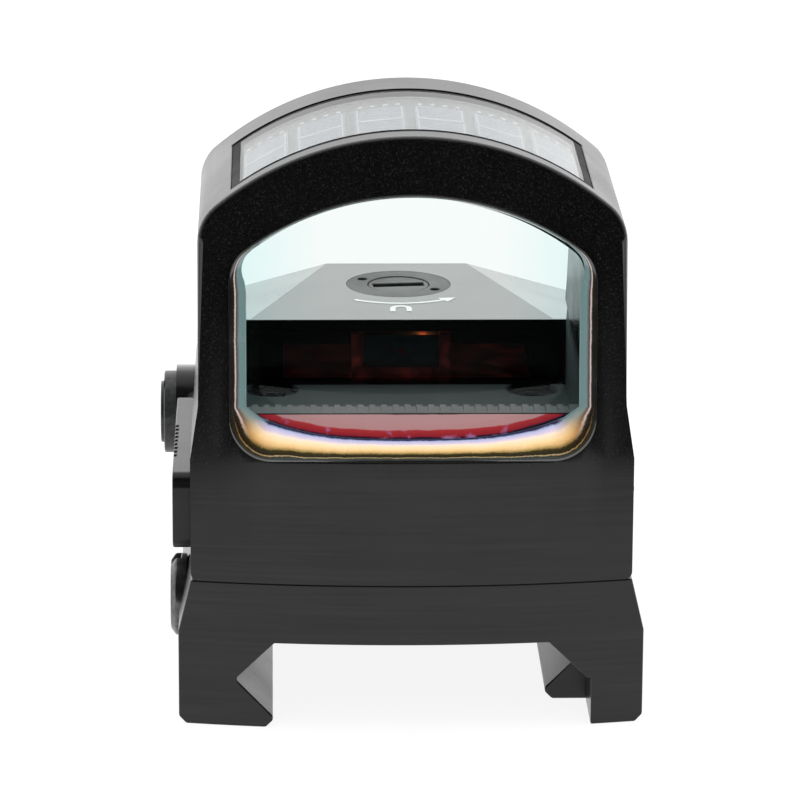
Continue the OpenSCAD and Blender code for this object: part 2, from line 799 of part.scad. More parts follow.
module detent_bore_x() {
    translate([-half_w + 1.15, windage_y, detent_z]) rotate([0, -90, 0])
        cylinder(r = detent_bore_r, h = detent_depth);
}

module elevation_detent() {
    color(steel) translate([detent_x, elevation_y, deck_z - oring_groove - film]) detent(0.4);
}

module windage_detent() {
    color(steel) translate([-half_w + 1.12, windage_y, detent_z]) rotate([0, -90, 0]) detent(0.4);
}

module windage_screw() {
    x = -half_w - ring_depth + run_gap;
    color(steel) union() {
        rod_x(adjuster_r, x, nut_x1 + 0.6, windage_y, windage_z);
        rod_x(flange_r, x, x + adjuster_flange_t, windage_y, windage_z);
        translate([x + slip, windage_y, windage_z]) rotate([0, -90, 0])
            slotted_head(adjuster_head_r, head_proud - ring_depth + slip);
    }
}

module windage_ring() {
    color(black) translate([-half_w - ring_depth, windage_y, windage_z]) rotate([0, -90, 0])
        spanner_ring(windage_ring_r, ring_proud - ring_depth);
}

module windage_oring() {
    color(rubber) translate([-half_w + oring_depth, windage_y, windage_z]) rotate([0, 90, 0]) oring();
}

module windage_nut() {
    color(steel) difference() {
        block([nut_x0, windage_y - nut_half, windage_z - nut_half],
              [nut_x1, windage_y + nut_half, windage_z + nut_half]);
        rod_x(adjuster_r + run_gap, nut_x0 - 1, nut_x1 + 1, windage_y, windage_z);
    }
}

// Coil spring along +Z, swept as a ring of wire
module coil(r, wire_r, h, turns) {
    per_turn = 20;
    sides = 8;
    rings = per_turn * turns;
    points = [for (i = [0:rings]) let (a = 360 * i / per_turn, z = wire_r + (h - 2 * wire_r) * i / rings)
              for (k = [0:sides - 1]) let (b = 360 * k / sides)
              [(r + wire_r * cos(b)) * cos(a), (r + wire_r * cos(b)) * sin(a), z + wire_r * sin(b)]];
    walls = [for (i = [0:rings - 1]) for (k = [0:sides - 1]) let (n = (k + 1) % sides)
             [i * sides + k, i * sides + n, (i + 1) * sides + n, (i + 1) * sides + k]];
    polyhedron(points, concat([[for (k = [sides - 1:-1:0]) k]], walls,
                              [[for (k = [0:sides - 1]) rings * sides + k]]), convexity = 4);
}

module elevation_spring() {
    color(steel) translate([0, elevation_y, carrier_high + film])
        coil(adjuster_r + 0.45, spring_wire_r, boss_low - carrier_high - 2 * film, 3);
}

module windage_spring() {
    color(steel) translate([carriage_half + film, carriage_back - 1.6, joint_z + 3.7]) rotate([0, 90, 0])
        coil(0.9, spring_wire_r, carrier_x1 - arm_t - carriage_half - 2 * film, 5);
}

module circuit_board() {
    color(board_green) difference() {
        block([board_x0, board_y0, board_z], [board_x1, board_y1, board_z + board_t]);
        for (p = board_posts) rod_z(board_hole_r + slip, board_z - 1, board_z + 1, p[0], p[1]);
        for (p = plate_screws) rod_z(post_r + slip, board_z - 1, board_z + 1, p[0], p[1]);
    }
}

module control_chip() {
    x = (board_x0 + board_x1) / 2;
    color([0.15, 0.15, 0.16]) union() {
        block([x - 1.5, front_y + 13, board_z + board_t], [x + 1.5, front_y + 16, board_z + board_t + 0.8]);
        for (i = [0:3], s = [-1, 1])
            block([x + s * 1.7 - 0.3, front_y + 13.3 + i * 0.7, board_z + board_t],
                  [x + s * 1.7 + 0.3, front_y + 13.6 + i * 0.7, board_z + board_t + 0.2]);
    }
}

module board_screws() {
    color(steel) for (p = board_posts) union() {
        rod_z(board_hole_r, board_z - 0.05, board_z + 1.9, p[0], p[1]);
        rod_z(0.75, board_z - 0.4, board_z, p[0], p[1]);
    }
}

module button_board() {
    color(board_green)
        block([button_board_x, button_y - button_board_half, joint_z + 1.6],
              [dome_x, button_y + button_board_half, bay_high - 0.2]);
}

module button_domes() {
    color(steel) for (s = [-1, 1]) translate([dome_x, button_y + s * button_pitch / 2, button_z])
        rotate([0, 90, 0]) intersection() {
            cylinder(r = dome_r, h = dome_t);
            translate([0, 0, dome_t - dome_ball_r]) sphere(r = dome_ball_r);
        }
}

module button_boots() {
    color(rubber) for (s = [-1, 1]) difference() {
        rod_x(button_flange_r + slip, electronics_x1 - touch, electronics_x1 - touch + boot_t,
              button_y + s * button_pitch / 2, button_z);
        rod_x(button_stem_r + touch, electronics_x1 - 1, electronics_x1 + 1,
              button_y + s * button_pitch / 2, button_z);
    }
}

// Button with its flange, stem and a raised mark: a bar, crossed on the plus button
module button(s, crossed) {
    y = button_y + s * button_pitch / 2;
    x = half_w + button_proud;
    color([0.09, 0.09, 0.1]) union() {
        rod_x(button_r, button_pocket_x - 0.2, x, y, button_z);
        rod_x(button_flange_r, button_pocket_x - 0.35, button_pocket_x - 0.05, y, button_z);
        rod_x(button_stem_r, dome_x + dome_t + button_travel + touch, button_pocket_x, y, button_z);
        block([x - touch, y - mark_half, button_z - mark_line],
              [x + 0.12, y + mark_half, button_z + mark_line]);
        if (crossed)
            block([x - touch, y - mark_line, button_z - mark_half],
                  [x + 0.12, y + mark_line, button_z + mark_half]);
    }
}

module button_plus() { button(-1, true); }

module button_minus() { button(1, false); }

module battery_cell() {
    color(steel) union() {
        rod_z(cell_d / 2, cell_low + 0.3, cell_low + cell_t, battery_x, battery_y);
        rod_z(cell_d / 2 - 1, cell_low, cell_low + 0.4, battery_x, battery_y);
    }
}

module battery_tray() {
    low = bay_low + tray_gap;
    ribs = 9;
    color(black) difference() {
        union() {
            along_x(-half_w - tray_plate_t, -half_w)
                rounded_rect([plate_y0, plate_low], [plate_y1, plate_high], 1);
            block([-half_w - slip, bay_y0 + tray_gap, low],
                  [bay_x1 - 0.2, bay_y1 - tray_gap, low + tray_wall_h]);
        }
        rod_z(cell_d / 2 + 0.15, low + tray_floor_t, low + 9, battery_x, battery_y);
        rod_z(cell_d / 2 - 2.5, low - 1, low + 9, battery_x, battery_y);
        block([battery_x, battery_y + 0.9, low + 1], [bay_x1 + 1, battery_y + 2.9, low + 9]);
        rod_x(tray_screw_r + run_gap, -half_w - 3, -half_w + 1, tray_screw_y, tray_screw_z);
        rod_x(tray_screw_head_r + 0.08, -half_w - 3, -half_w - tray_plate_t + tray_head_depth,
              tray_screw_y, tray_screw_z);
        for (y = [plate_y0 + rib_start : rib_pitch : plate_y0 + rib_start + (ribs - 0.5) * rib_pitch])
            block([-half_w - tray_plate_t - 1, y, plate_low - 1],
                  [-half_w - tray_plate_t + 0.2, y + rib_gap, plate_high + 1]);
    }
}

module battery_tray_seal() {
    edge = seal_w - touch;
    color(rubber) along_x(-half_w + film, -half_w + seal_t - touch) difference() {
        rounded_rect([bay_y0 - edge, bay_low - edge], [bay_y1 + edge, bay_high + edge], 0.3);
        translate([bay_y0 + tray_gap, bay_low + tray_gap])
            square([bay_y1 - bay_y0 - 2 * tray_gap, bay_high - bay_low - 2 * tray_gap]);
    }
}

module battery_tray_screw() {
    x = -half_w - tray_plate_t + tray_head_depth;
    color(steel) union() {
        rod_x(tray_screw_r, x - slip, -half_w + 2.8, tray_screw_y, tray_screw_z);
        difference() {
            rod_x(tray_screw_head_r, x - tray_head_depth, x, tray_screw_y, tray_screw_z);
            block([x - tray_head_depth - 1, tray_screw_y - mark_half, tray_screw_z - mark_line],
                  [x - tray_head_depth / 2, tray_screw_y + mark_half, tray_screw_z + mark_line]);
        }
    }
}

// Slots through the wall between the battery bay and the electronics
module battery_slots(gap) {
    block([bay_x1 - 1, battery_y - 1 - gap, bay_high - 0.45],
          [electronics_x0 + 1, battery_y + 1 + gap, bay_high - eps / 2]);
    rod_x(contact_r + gap, bay_x1 - 1, electronics_x0 + 1, contact_y, contact_z);
}

module battery_spring() {
    z = cell_low + cell_t + 0.06;
    color(copper) union() {
        block([battery_x + 1, battery_y - 1, z], [board_x0 + 0.5, battery_y + 1, z + 0.2]);
        block([board_x0 + 0.3, battery_y - 1, board_z + board_t],
              [board_x0 + 0.5, battery_y + 1, z + 0.2]);
    }
}

module battery_contact() {
    color(copper) union() {
        rod_x(contact_r, bay_x1 - 0.55, board_x0 + 0.4, contact_y, contact_z);
        block([board_x0 + 0.2, contact_y - 0.5, board_z + board_t],
              [board_x0 + 0.4, contact_y + 0.5, contact_z + 0.3]);
    }
}

module bottom_plate() {
    color(black) difference() {
        translate([0, 0, joint_z + film]) linear_extrude(plate_t - film) plate_area(ledge - touch);
        for (p = plate_screws) {
            rod_z(plate_screw_r + slip, joint_z - 1, joint_z + 2, p[0], p[1]);
            rod_z(plate_screw_head_r + touch, joint_z - 1, joint_z + 0.45, p[0], p[1]);
        }
    }
}

module bottom_seal() {
    color(rubber) translate([0, 0, joint_z + plate_t]) linear_extrude(bottom_seal_t) difference() {
        plate_area(ledge - touch);
        plate_area(0);
    }
}

module bottom_screws() {
    color(steel) for (p = plate_screws) difference() {
        union() {
            rod_z(plate_screw_r, joint_z + 0.4, joint_z + 2.8, p[0], p[1]);
            rod_z(plate_screw_head_r, joint_z + touch, joint_z + 0.44, p[0], p[1]);
        }
        block([p[0] - 0.6, p[1] - 0.12, joint_z - 1], [p[0] + 0.6, p[1] + 0.12, joint_z + 0.2]);
    }
}

// Half of the mount's section: rail seat, 45 degree flanks, lip, foot and outer skin
module mount_section() {
    right = [[rail_half, 0], [tip_half - tip_flat, flank_low + tip_flat],
             [tip_half - tip_flat, flank_low - tip_flat],
             [lip_half, flank_low - (tip_half - lip_half)], [lip_half, -foot_depth + foot_r],
             [lip_half + foot_r, -foot_depth], [half_mount - foot_r, -foot_depth],
             [half_mount, -foot_depth + foot_r], [half_mount, chamfer_low], [half_w, web_t]];
    polygon(concat(right, mirrored(right)));
}

module mount_base() {
    color(black) difference() {
        union() {
            along_y(front_y - over, mount_y1) mount_section();
            along_y(front_y - over, front_y + lug_t)
                polygon([[-slot_half, -lug_depth], [slot_half, -lug_depth], [slot_half, web_t / 2],
                         [-slot_half, web_t / 2]]);
        }
        difference() {
            block([-body_w, front_y - 2 * over, -foot_depth - over],
                  [body_w, front_y + 3 * over, web_t + over]);
            translate([0, front_y + front_r, -foot_depth - 2 * over])
                cylinder(r = front_r, h = foot_depth + web_t + 4 * over, $fn = 360);
        }
        // room for the clamp jaw, and an upright inner wall on the foot in front of it
        block([jaw_inner - jaw_gap, jaw_y0 - jaw_gap, -foot_depth - over],
              [body_w, jaw_y1 + over, jaw_top + jaw_gap]);
        block([0, jaw_y0 - jaw_gap, -foot_depth - over], [body_w, jaw_y1 + over, flank_low]);
        block([0, front_y - over, -foot_depth - over], [foot_wall_x, jaw_y0, flank_low]);
        for (y = bolt_ys) {
            rod_x(channel_r, -mount_w, jaw_inner + 1, y, bolt_z);
            rod_x(bolt_head_r + slip, -mount_w, -half_mount + bolt_seat, y, bolt_z);
            block([-rail_half - 1, y - channel_r, bolt_z], [rail_half + 1, y + channel_r, bolt_groove_top]);
        }
        for (x = screw_xs) rod_z(sight_screw_r, thread_low, web_t + 1, x, screw_y);
        for (x = [-pin_x, pin_x]) rod_z(pin_r, pin_low, web_t + 1, x, pin_y);
    }
}

module recoil_pins() {
    color(steel) for (x = [-pin_x, pin_x]) rod_z(pin_r, pin_low, pin_high, x, pin_y);
}

module sight_screws() {
    socket_r = 0.95;
    color(steel) for (x = screw_xs) difference() {
        union() {
            rod_z(sight_screw_r, thread_low + 0.2, screw_seat + slip, x, screw_y);
            rod_z(screw_head_r, screw_seat, screw_seat + screw_head_t, x, screw_y);
        }
        translate([x, screw_y, screw_seat + slot_depth]) cylinder(r = socket_r, h = 2, $fn = 6);
    }
}

module clamp_jaw() {
    color(black) difference() {
        along_y(jaw_y0, jaw_y1)
            polygon([[jaw_inner, jaw_top], [jaw_inner, flank_low + tip_half - jaw_inner + tip_flat],
                     [tip_half - tip_flat, flank_low + tip_flat], [tip_half - tip_flat, flank_low - tip_flat],
                     [lip_half, flank_low - (tip_half - lip_half)], [lip_half, -foot_depth + foot_r],
                     [lip_half + foot_r, -foot_depth], [half_mount - foot_r, -foot_depth],
                     [half_mount, -foot_depth + foot_r], [half_mount, chamfer_low],
                     [half_w + (half_mount - half_w) * (web_t - jaw_top) / (web_t - chamfer_low), jaw_top]]);
        for (y = bolt_ys) rod_x(bolt_r + run_gap, 0, mount_w, y, bolt_z);
    }
}

module clamp_bolt(y) {
    x0 = -half_mount + bolt_seat;
    head_t = bolt_seat + bolt_head_proud;
    color(steel) union() {
        rod_x(bolt_r, x0 - 0.1, half_mount - 0.6, y, bolt_z);
        translate([x0, y, bolt_z]) rotate([0, -90, 0]) difference() {
            rotate_extrude() polygon([[0, 0], [bolt_head_r, 0], [bolt_head_r, head_t - 0.35],
                                      [bolt_head_r - 0.5, head_t], [0, head_t]]);
            translate([-bolt_head_r - 1, -0.5, head_t - 0.7]) cube([2 * bolt_head_r + 2, 1, 2]);
        }
    }
}

module clamp_bolt_front() { clamp_bolt(bolt_ys[0]); }

module clamp_bolt_rear() { clamp_bolt(bolt_ys[1]); }

housing();
lens_front();
lens_rear();
lens_sealant();
solar_cover();
solar_cells();
solar_board();
solar_gasket();
solar_flex();
emitter_window();
emitter_carrier();
emitter_carriage();
emitter_board();
emitter_diode();
reticle_mask();
emitter_flex();
elevation_screw();
elevation_ring();
elevation_oring();
elevation_detent();
elevation_spring();
windage_screw();
windage_ring();
windage_oring();
windage_detent();
windage_nut();
windage_spring();
circuit_board();
control_chip();
board_screws();
button_board();
button_domes();
button_boots();
button_plus();
button_minus();
battery_cell();
battery_tray();
battery_tray_seal();
battery_tray_screw();
battery_spring();
battery_contact();
bottom_plate();
bottom_seal();
bottom_screws();
mount_base();
recoil_pins();
sight_screws();
clamp_jaw();
clamp_bolt_front();
clamp_bolt_rear();
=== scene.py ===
import json
import math

import bmesh
import bpy
from mathutils import Matrix, Vector

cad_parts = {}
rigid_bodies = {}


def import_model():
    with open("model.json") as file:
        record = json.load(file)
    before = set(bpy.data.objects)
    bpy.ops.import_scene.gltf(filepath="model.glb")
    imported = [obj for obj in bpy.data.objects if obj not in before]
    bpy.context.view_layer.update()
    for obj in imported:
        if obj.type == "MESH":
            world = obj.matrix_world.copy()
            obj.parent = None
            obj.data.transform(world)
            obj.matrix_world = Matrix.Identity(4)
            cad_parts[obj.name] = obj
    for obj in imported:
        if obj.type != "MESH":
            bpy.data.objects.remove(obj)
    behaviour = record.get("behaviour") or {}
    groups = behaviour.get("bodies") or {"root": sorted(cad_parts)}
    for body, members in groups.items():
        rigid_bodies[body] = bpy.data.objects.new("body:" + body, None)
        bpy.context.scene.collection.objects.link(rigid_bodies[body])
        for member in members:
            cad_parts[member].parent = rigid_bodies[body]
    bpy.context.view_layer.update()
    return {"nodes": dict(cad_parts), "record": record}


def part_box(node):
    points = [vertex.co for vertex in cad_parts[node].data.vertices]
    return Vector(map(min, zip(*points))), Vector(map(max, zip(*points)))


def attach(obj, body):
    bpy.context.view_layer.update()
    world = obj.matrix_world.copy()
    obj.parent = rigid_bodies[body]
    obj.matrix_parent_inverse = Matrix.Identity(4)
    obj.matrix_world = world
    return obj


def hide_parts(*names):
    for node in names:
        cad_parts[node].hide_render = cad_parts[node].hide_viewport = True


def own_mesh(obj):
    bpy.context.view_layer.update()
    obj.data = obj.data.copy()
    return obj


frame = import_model()
nodes = frame["nodes"]
bodyOf = {node: body for body, group in frame["record"]["behaviour"]["bodies"].items() for node in group}
slotOf = {part["node"]: part["material_slot"] for part in frame["record"]["subparts"]}
mm = 0.001

# Reference lines of the sight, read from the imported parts
bodyLow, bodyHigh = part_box("housing")
floorZ, jointZ = (corner.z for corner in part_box("mount_base"))
frontY = bodyLow.y
flareZ = jointZ + 8.5 * mm
faceLean = math.radians(7.7)
roofRadius = 20.5 * mm
roofAxisZ = bodyHigh.z - roofRadius


# Shader helpers: a node with its settings, and its inputs as values or links

def add(tree, kind, links=None, **settings):
    node = tree.nodes.new(kind)
    for key, value in settings.items():
        setattr(node, key, value)
    for key, value in (links or {}).items():
        if isinstance(value, bpy.types.NodeSocket):
            tree.links.new(value, node.inputs[key])
        else:
            node.inputs[key].default_value = value
    return node


def newGroup(name, inputs, outputs):
    group = bpy.data.node_groups.new(name, "ShaderNodeTree")
    for label, kind, value in inputs:
        socket = group.interface.new_socket(label, in_out="INPUT", socket_type="NodeSocket" + kind)
        if value is not None:
            socket.default_value = value
    for label, kind in outputs:
        group.interface.new_socket(label, in_out="OUTPUT", socket_type="NodeSocket" + kind)
    return group, add(group, "NodeGroupInput"), add(group, "NodeGroupOutput")


def mathNode(tree, operation, a, b=0.0):
    return add(tree, "ShaderNodeMath", {0: a, 1: b}, operation=operation).outputs[0]


def remap(tree, value, fromLow, fromHigh, toLow, toHigh):
    links = {"Value": value, "From Min": fromLow, "From Max": fromHigh, "To Min": toLow, "To Max": toHigh}
    return add(tree, "ShaderNodeMapRange", links).outputs["Result"]


# 1 past a line and 0 before it, with a short run between; a run below zero turns it round
def pastLine(tree, value, line, run):
    return remap(tree, value, line, line + run, 0.0, 1.0)


# Noise lies mostly between 0.3 and 0.7, and is stretched from there
def spread(tree, noise, toLow=0.0, toHigh=1.0):
    return remap(tree, noise, 0.3, 0.7, toLow, toHigh)


def product(tree, first, *others):
    for value in others:
        first = mathNode(tree, "MULTIPLY", first, value)
    return first


def mixColour(tree, factor, a, b):
    node = add(tree, "ShaderNodeMix", data_type="RGBA")
    for index, value in ((0, factor), (6, a), (7, b)):
        if isinstance(value, bpy.types.NodeSocket):
            tree.links.new(value, node.inputs[index])
        else:
            node.inputs[index].default_value = value if index == 0 else (*value, 1)
    return node.outputs[2]


def ramp(tree, value, stops):
    node = add(tree, "ShaderNodeValToRGB", {"Fac": value})
    elements = node.color_ramp.elements
    for index, (place, colour) in enumerate(stops):
        element = elements[index] if index < 2 else elements.new(place)
        element.position = place
        element.color = (*colour, 1)
    return node.outputs["Color"]


# Fine grain of a blasted or moulded surface
def makeGrain():
    inputs = [("Vector", "Vector", None), ("Size", "Float", 0.0001), ("Patches", "Float", 0.004)]
    group, source, out = newGroup("fineGrain", inputs, [("Grain", "Float"), ("Patch", "Float")])
    grainScale = mathNode(group, "DIVIDE", 1.0, source.outputs["Size"])
    patchScale = mathNode(group, "DIVIDE", 1.0, source.outputs["Patches"])
    place = source.outputs["Vector"]
    grain = add(group, "ShaderNodeTexNoise", {"Vector": place, "Scale": grainScale, "Detail": 2.0})
    patch = add(group, "ShaderNodeTexNoise", {"Vector": place, "Scale": patchScale, "Detail": 3.0})
    group.links.new(spread(group, grain.outputs["Fac"]), out.inputs["Grain"])
    group.links.new(spread(group, patch.outputs["Fac"]), out.inputs["Patch"])
    return group


# Straight cutter lines, stretched along one or two axes of the vector, and broad bands of them
bandShare = 0.17


def makeToolLines():
    inputs = [("Vector", "Vector", None), ("Stretch", "Vector", (60, 60, 6000))]
    group, source, out = newGroup("toolLines", inputs, [("Lines", "Float"), ("Bands", "Float")])
    fine = add(group, "ShaderNodeVectorMath", {0: source.outputs["Vector"], 1: source.outputs["Stretch"]},
               operation="MULTIPLY")
    broad = add(group, "ShaderNodeVectorMath", {0: fine.outputs[0], "Scale": bandShare}, operation="SCALE")
    lines = add(group, "ShaderNodeTexNoise", {"Vector": fine.outputs[0], "Scale": 1.0, "Detail": 3.0})
    bands = add(group, "ShaderNodeTexNoise", {"Vector": broad.outputs[0], "Scale": 1.0, "Detail": 1.0})
    group.links.new(spread(group, lines.outputs["Fac"]), out.inputs["Lines"])
    group.links.new(spread(group, bands.outputs["Fac"]), out.inputs["Bands"])
    return group


grainGroup = makeGrain()
linesGroup = makeToolLines()


def newMaterial(name, **constants):
    material = bpy.data.materials.new(name)
    material.use_nodes = True
    tree = material.node_tree
    shader = tree.nodes["Principled BSDF"]
    for label, value in constants.items():
        socket = shader.inputs[label.replace("_", " ")]
        socket.default_value = (*value, 1) if isinstance(value, tuple) else value
    place = add(tree, "ShaderNodeTexCoord").outputs["Object"]
    return material, tree, shader, place


def useGroup(tree, group, **links):
    return add(tree, "ShaderNodeGroup", links, node_tree=group).outputs


def feed(tree, shader, colour=None, roughness=None, height=None, strength=0.3, distance=0.02 * mm):
    if colour is not None:
        tree.links.new(colour, shader.inputs["Base Color"])
    if roughness is not None:
        tree.links.new(roughness, shader.inputs["Roughness"])
    if height is not None:
        bump = add(tree, "ShaderNodeBump", {"Strength": strength, "Distance": distance, "Height": height})
        tree.links.new(bump.outputs["Normal"], shader.inputs["Normal"])


# A plain finish: two colours mixed by grain, rough patches, and a bump of a fifth of the grain
def simpleFinish(name, dark, light, roughLow, roughHigh, grain=0.1 * mm, bump=0.2, **constants):
    material, tree, shader, place = newMaterial(name, **constants)
    spots = useGroup(tree, grainGroup, Vector=place, Size=grain, Patches=4 * mm)
    colour = mixColour(tree, spots["Grain"], dark, light)
    rough = remap(tree, spots["Patch"], 0.0, 1.0, roughLow, roughHigh)
    feed(tree, shader, colour, rough, spots["Grain"], bump, grain * 0.2)
    return material


# Metal with cutter lines along an axis
lineDepth = 0.01 * mm


def linedFinish(name, dark, light, roughLow, roughHigh, stretch, bump=0.3, **constants):
    material, tree, shader, place = newMaterial(name, **constants)
    lines = useGroup(tree, linesGroup, Vector=place, Stretch=stretch)
    spots = useGroup(tree, grainGroup, Vector=place, Size=0.15 * mm, Patches=5 * mm)
    colour = mixColour(tree, lines["Lines"], dark, light)
    rough = remap(tree, spots["Patch"], 0.0, 1.0, roughLow, roughHigh)
    feed(tree, shader, colour, rough, lines["Lines"], bump, lineDepth)
    return material


# Black anodising: blasted above a height, with level cutter lines on the upright faces below it.
# Each place where its finish changes is a pair, the line and the run from it; linesEnd and deckFoot
# are measured from the top of the cutter lines
anodised = {"linesTop": flareZ - 0.2 * mm, "linesEnd": (0.2 * mm, -0.8 * mm), "lineStretch": 90,
            "lineGap": 0.22 * mm, "grain": 0.09 * mm, "specular": 0.4,
            "dark": (0.0018, 0.0018, 0.002), "fleck": (0.018, 0.018, 0.0183), "fleckPower": 4.0,
            "lineDark": (0.005, 0.005, 0.005), "lineLight": (0.013, 0.013, 0.0133), "bandShare": 0.4,
            "roughLow": 0.2, "roughHigh": 0.28, "patches": 6 * mm, "bump": 0.12, "grainBump": 0.5,
            "deckFront": (3.4 * mm, 0.2 * mm), "deckFoot": (-2 * mm, 1 * mm), "deckCoat": 0.9,
            # Painted light: behind the lens the black is painted a lighter teal grey, for the bright
            # reflection of the studio in the glass over it
            "tunnelPaintedLight": (0.075, 0.095, 0.095), "tunnelRough": 0.2,
            "tunnelFront": (frontY + 3.2 * mm, 0.4 * mm), "tunnelBack": (3.4 * mm, -0.2 * mm),
            "tunnelFloor": (flareZ - 2.9 * mm, 0.3 * mm), "tunnelTop": (flareZ + 4 * mm, -1.4 * mm),
            "tunnelSide": (12.7 * mm, -0.2 * mm)}
mountAnodised = {**anodised, "linesTop": jointZ + 20 * mm}


def anodisedFinish(name, settings):
    material, tree, shader, place = newMaterial(name, Metallic=0.0, Specular_IOR_Level=settings["specular"],
                                                Coat_Roughness=settings["roughLow"])
    spot = add(tree, "ShaderNodeSeparateXYZ", {0: place}).outputs
    along, height = spot["Y"], spot["Z"]
    across = mathNode(tree, "ABSOLUTE", spot["X"])
    endRise, endRun = settings["linesEnd"]
    footRise, footRun = settings["deckFoot"]
    below = pastLine(tree, height, settings["linesTop"] + endRise, endRun)
    onDeck = product(tree, pastLine(tree, along, *settings["deckFront"]),
                     pastLine(tree, height, settings["linesTop"] + footRise, footRun))
    paintedLightInTunnel = product(tree, pastLine(tree, along, *settings["tunnelFront"]),
                       pastLine(tree, height, *settings["tunnelTop"]),
                       pastLine(tree, along, *settings["tunnelBack"]),
                       pastLine(tree, across, *settings["tunnelSide"]),
                       pastLine(tree, height, *settings["tunnelFloor"]))
    spots = useGroup(tree, grainGroup, Vector=place, Size=settings["grain"], Patches=settings["patches"])
    stretch = (settings["lineStretch"], settings["lineStretch"], 1 / settings["lineGap"])
    lines = useGroup(tree, linesGroup, Vector=place, Stretch=stretch)
    fleck = mathNode(tree, "POWER", spots["Grain"], settings["fleckPower"])
    blasted = mixColour(tree, fleck, settings["dark"], settings["fleck"])
    machined = mixColour(tree, lines["Lines"], settings["lineDark"], settings["lineLight"])
    banded = product(tree, lines["Bands"], settings["bandShare"])
    machined = mixColour(tree, banded, machined, settings["dark"])
    colour = mixColour(tree, below, blasted, machined)
    # Painted light: the lighter teal grey behind the lens stands for the glass's bright reflection
    colour = mixColour(tree, paintedLightInTunnel, colour, settings["tunnelPaintedLight"])
    rough = remap(tree, spots["Patch"], 0.0, 1.0, settings["roughLow"], settings["roughHigh"])
    rough = mathNode(tree, "ADD", rough, product(tree, paintedLightInTunnel, settings["tunnelRough"]))
    relief = mathNode(tree, "ADD", product(tree, lines["Lines"], below),
                      product(tree, spots["Grain"], settings["grainBump"]))
    tree.links.new(product(tree, onDeck, settings["deckCoat"]), shader.inputs["Coat Weight"])
    feed(tree, shader, colour, rough, relief, settings["bump"], lineDepth)
    return material


# Clear glass, tinted towards its outer edge. Its pieces cast no shadow, see clearPiece
def glassFinish(name, tint, edgeTint, halfWidth, roughness, ior):
    material, tree, shader, place = newMaterial(name, IOR=ior, Transmission_Weight=1.0)
    across = mathNode(tree, "ABSOLUTE", add(tree, "ShaderNodeSeparateXYZ", {0: place}).outputs["X"])
    nearEdge = pastLine(tree, across, halfWidth * 0.45, halfWidth * 0.55)
    spots = useGroup(tree, grainGroup, Vector=place, Size=0.6 * mm, Patches=8 * mm)
    rough = remap(tree, spots["Patch"], 0.0, 1.0, roughness * 0.5, roughness)
    feed(tree, shader, mixColour(tree, nearEdge, tint, edgeTint), rough)
    return material


# Thin-film colours in bands from the rim inwards, by the piece's own map, with painted reflections of the
# glass's lower edge in them and a faint painted glow
bandColours = {
    "foot": [(0.0, (0.01, 0.011, 0.011)), (0.08, (0.05, 0.06, 0.055)), (0.13, (0.03, 0.035, 0.03)),
             (0.155, (0.5, 0.36, 0.18)), (0.18, (0.02, 0.018, 0.01)), (0.3, (0.045, 0.035, 0.01)),
             (0.34, (0.3, 0.2, 0.06)), (0.42, (0.75, 0.48, 0.2)), (0.55, (0.95, 0.68, 0.36)),
             (0.7, (0.93, 0.76, 0.58)), (0.76, (0.7, 0.58, 0.72)), (0.88, (0.42, 0.46, 0.68)),
             (0.93, (0.03, 0.03, 0.1)), (1.0, (0.004, 0.004, 0.012))],
    "side": [(0.0, (0.006, 0.006, 0.006)), (0.24, (0.012, 0.01, 0.008)), (0.3, (0.05, 0.035, 0.025)),
             (0.34, (0.6, 0.48, 0.42)), (0.38, (0.45, 0.36, 0.36)), (0.42, (0.05, 0.03, 0.03)),
             (0.5, (0.1, 0.11, 0.12)), (0.6, (0.13, 0.21, 0.21)), (1.0, (0.12, 0.2, 0.2))]}
rimLook = {"specular": 0.8, "wobbleScale": 700.0, "wobble": 0.02, "fleckScale": 9000.0, "fleck": 0.012,
           "amber": (0.55, 0.36, 0.1), "corner": (9.2 * mm, 11.6 * mm), "cornerShare": 0.85,
           "cornerWobble": 0.02, "roughLow": 0.12, "roughHigh": 0.3, "glow": 0.2}


def rimFinish(name, look):
    material, tree, shader, place = newMaterial(name, Specular_IOR_Level=look["specular"], Coat_Weight=1.0,
                                                Emission_Strength=look["glow"])
    uv = add(tree, "ShaderNodeSeparateXYZ", {0: add(tree, "ShaderNodeUVMap", uv_map="bands").outputs[0]})
    wobble = add(tree, "ShaderNodeTexNoise", {"Vector": place, "Scale": look["wobbleScale"], "Detail": 3.0})
    fleck = add(tree, "ShaderNodeTexNoise", {"Vector": place, "Scale": look["fleckScale"], "Detail": 1.0})
    wobble, fleck = wobble.outputs["Fac"], fleck.outputs["Fac"]
    shift = spread(tree, wobble, -look["wobble"], look["wobble"])
    across = mathNode(tree, "ADD", uv.outputs["Y"], shift)
    across = mathNode(tree, "ADD", across, spread(tree, fleck, -look["fleck"], look["fleck"]))
    foot = ramp(tree, across, bandColours["foot"])
    side = ramp(tree, across, bandColours["side"])
    aside = mathNode(tree, "ABSOLUTE", add(tree, "ShaderNodeSeparateXYZ", {0: place}).outputs["X"])
    aside = mathNode(tree, "ADD", aside, product(tree, shift, look["cornerWobble"]))
    corner = remap(tree, aside, *look["corner"], 0.0, look["cornerShare"])
    amber = add(tree, "ShaderNodeMix", {0: corner, 6: foot, 7: (*look["amber"], 1)}, data_type="RGBA",
                blend_type="MULTIPLY")
    colour = mixColour(tree, uv.outputs["X"], side, amber.outputs[2])
    feed(tree, shader, colour, spread(tree, wobble, look["roughLow"], look["roughHigh"]), fleck, 0.1)
    # Painted glow: the bands give off light in their own colours
    tree.links.new(colour, shader.inputs["Emission Color"])
    return material


# Parts of the emitter bay, in the dim red light that the diode scatters about it
redLight = {"spots": 1.1 * mm, "patches": 2.5 * mm, "power": 2.5, "lift": 1.6,
            "dim": (0.05, 0.004, 0.004), "bright": (1.0, 0.12, 0.09), "roughLow": 0.3, "roughHigh": 0.5}


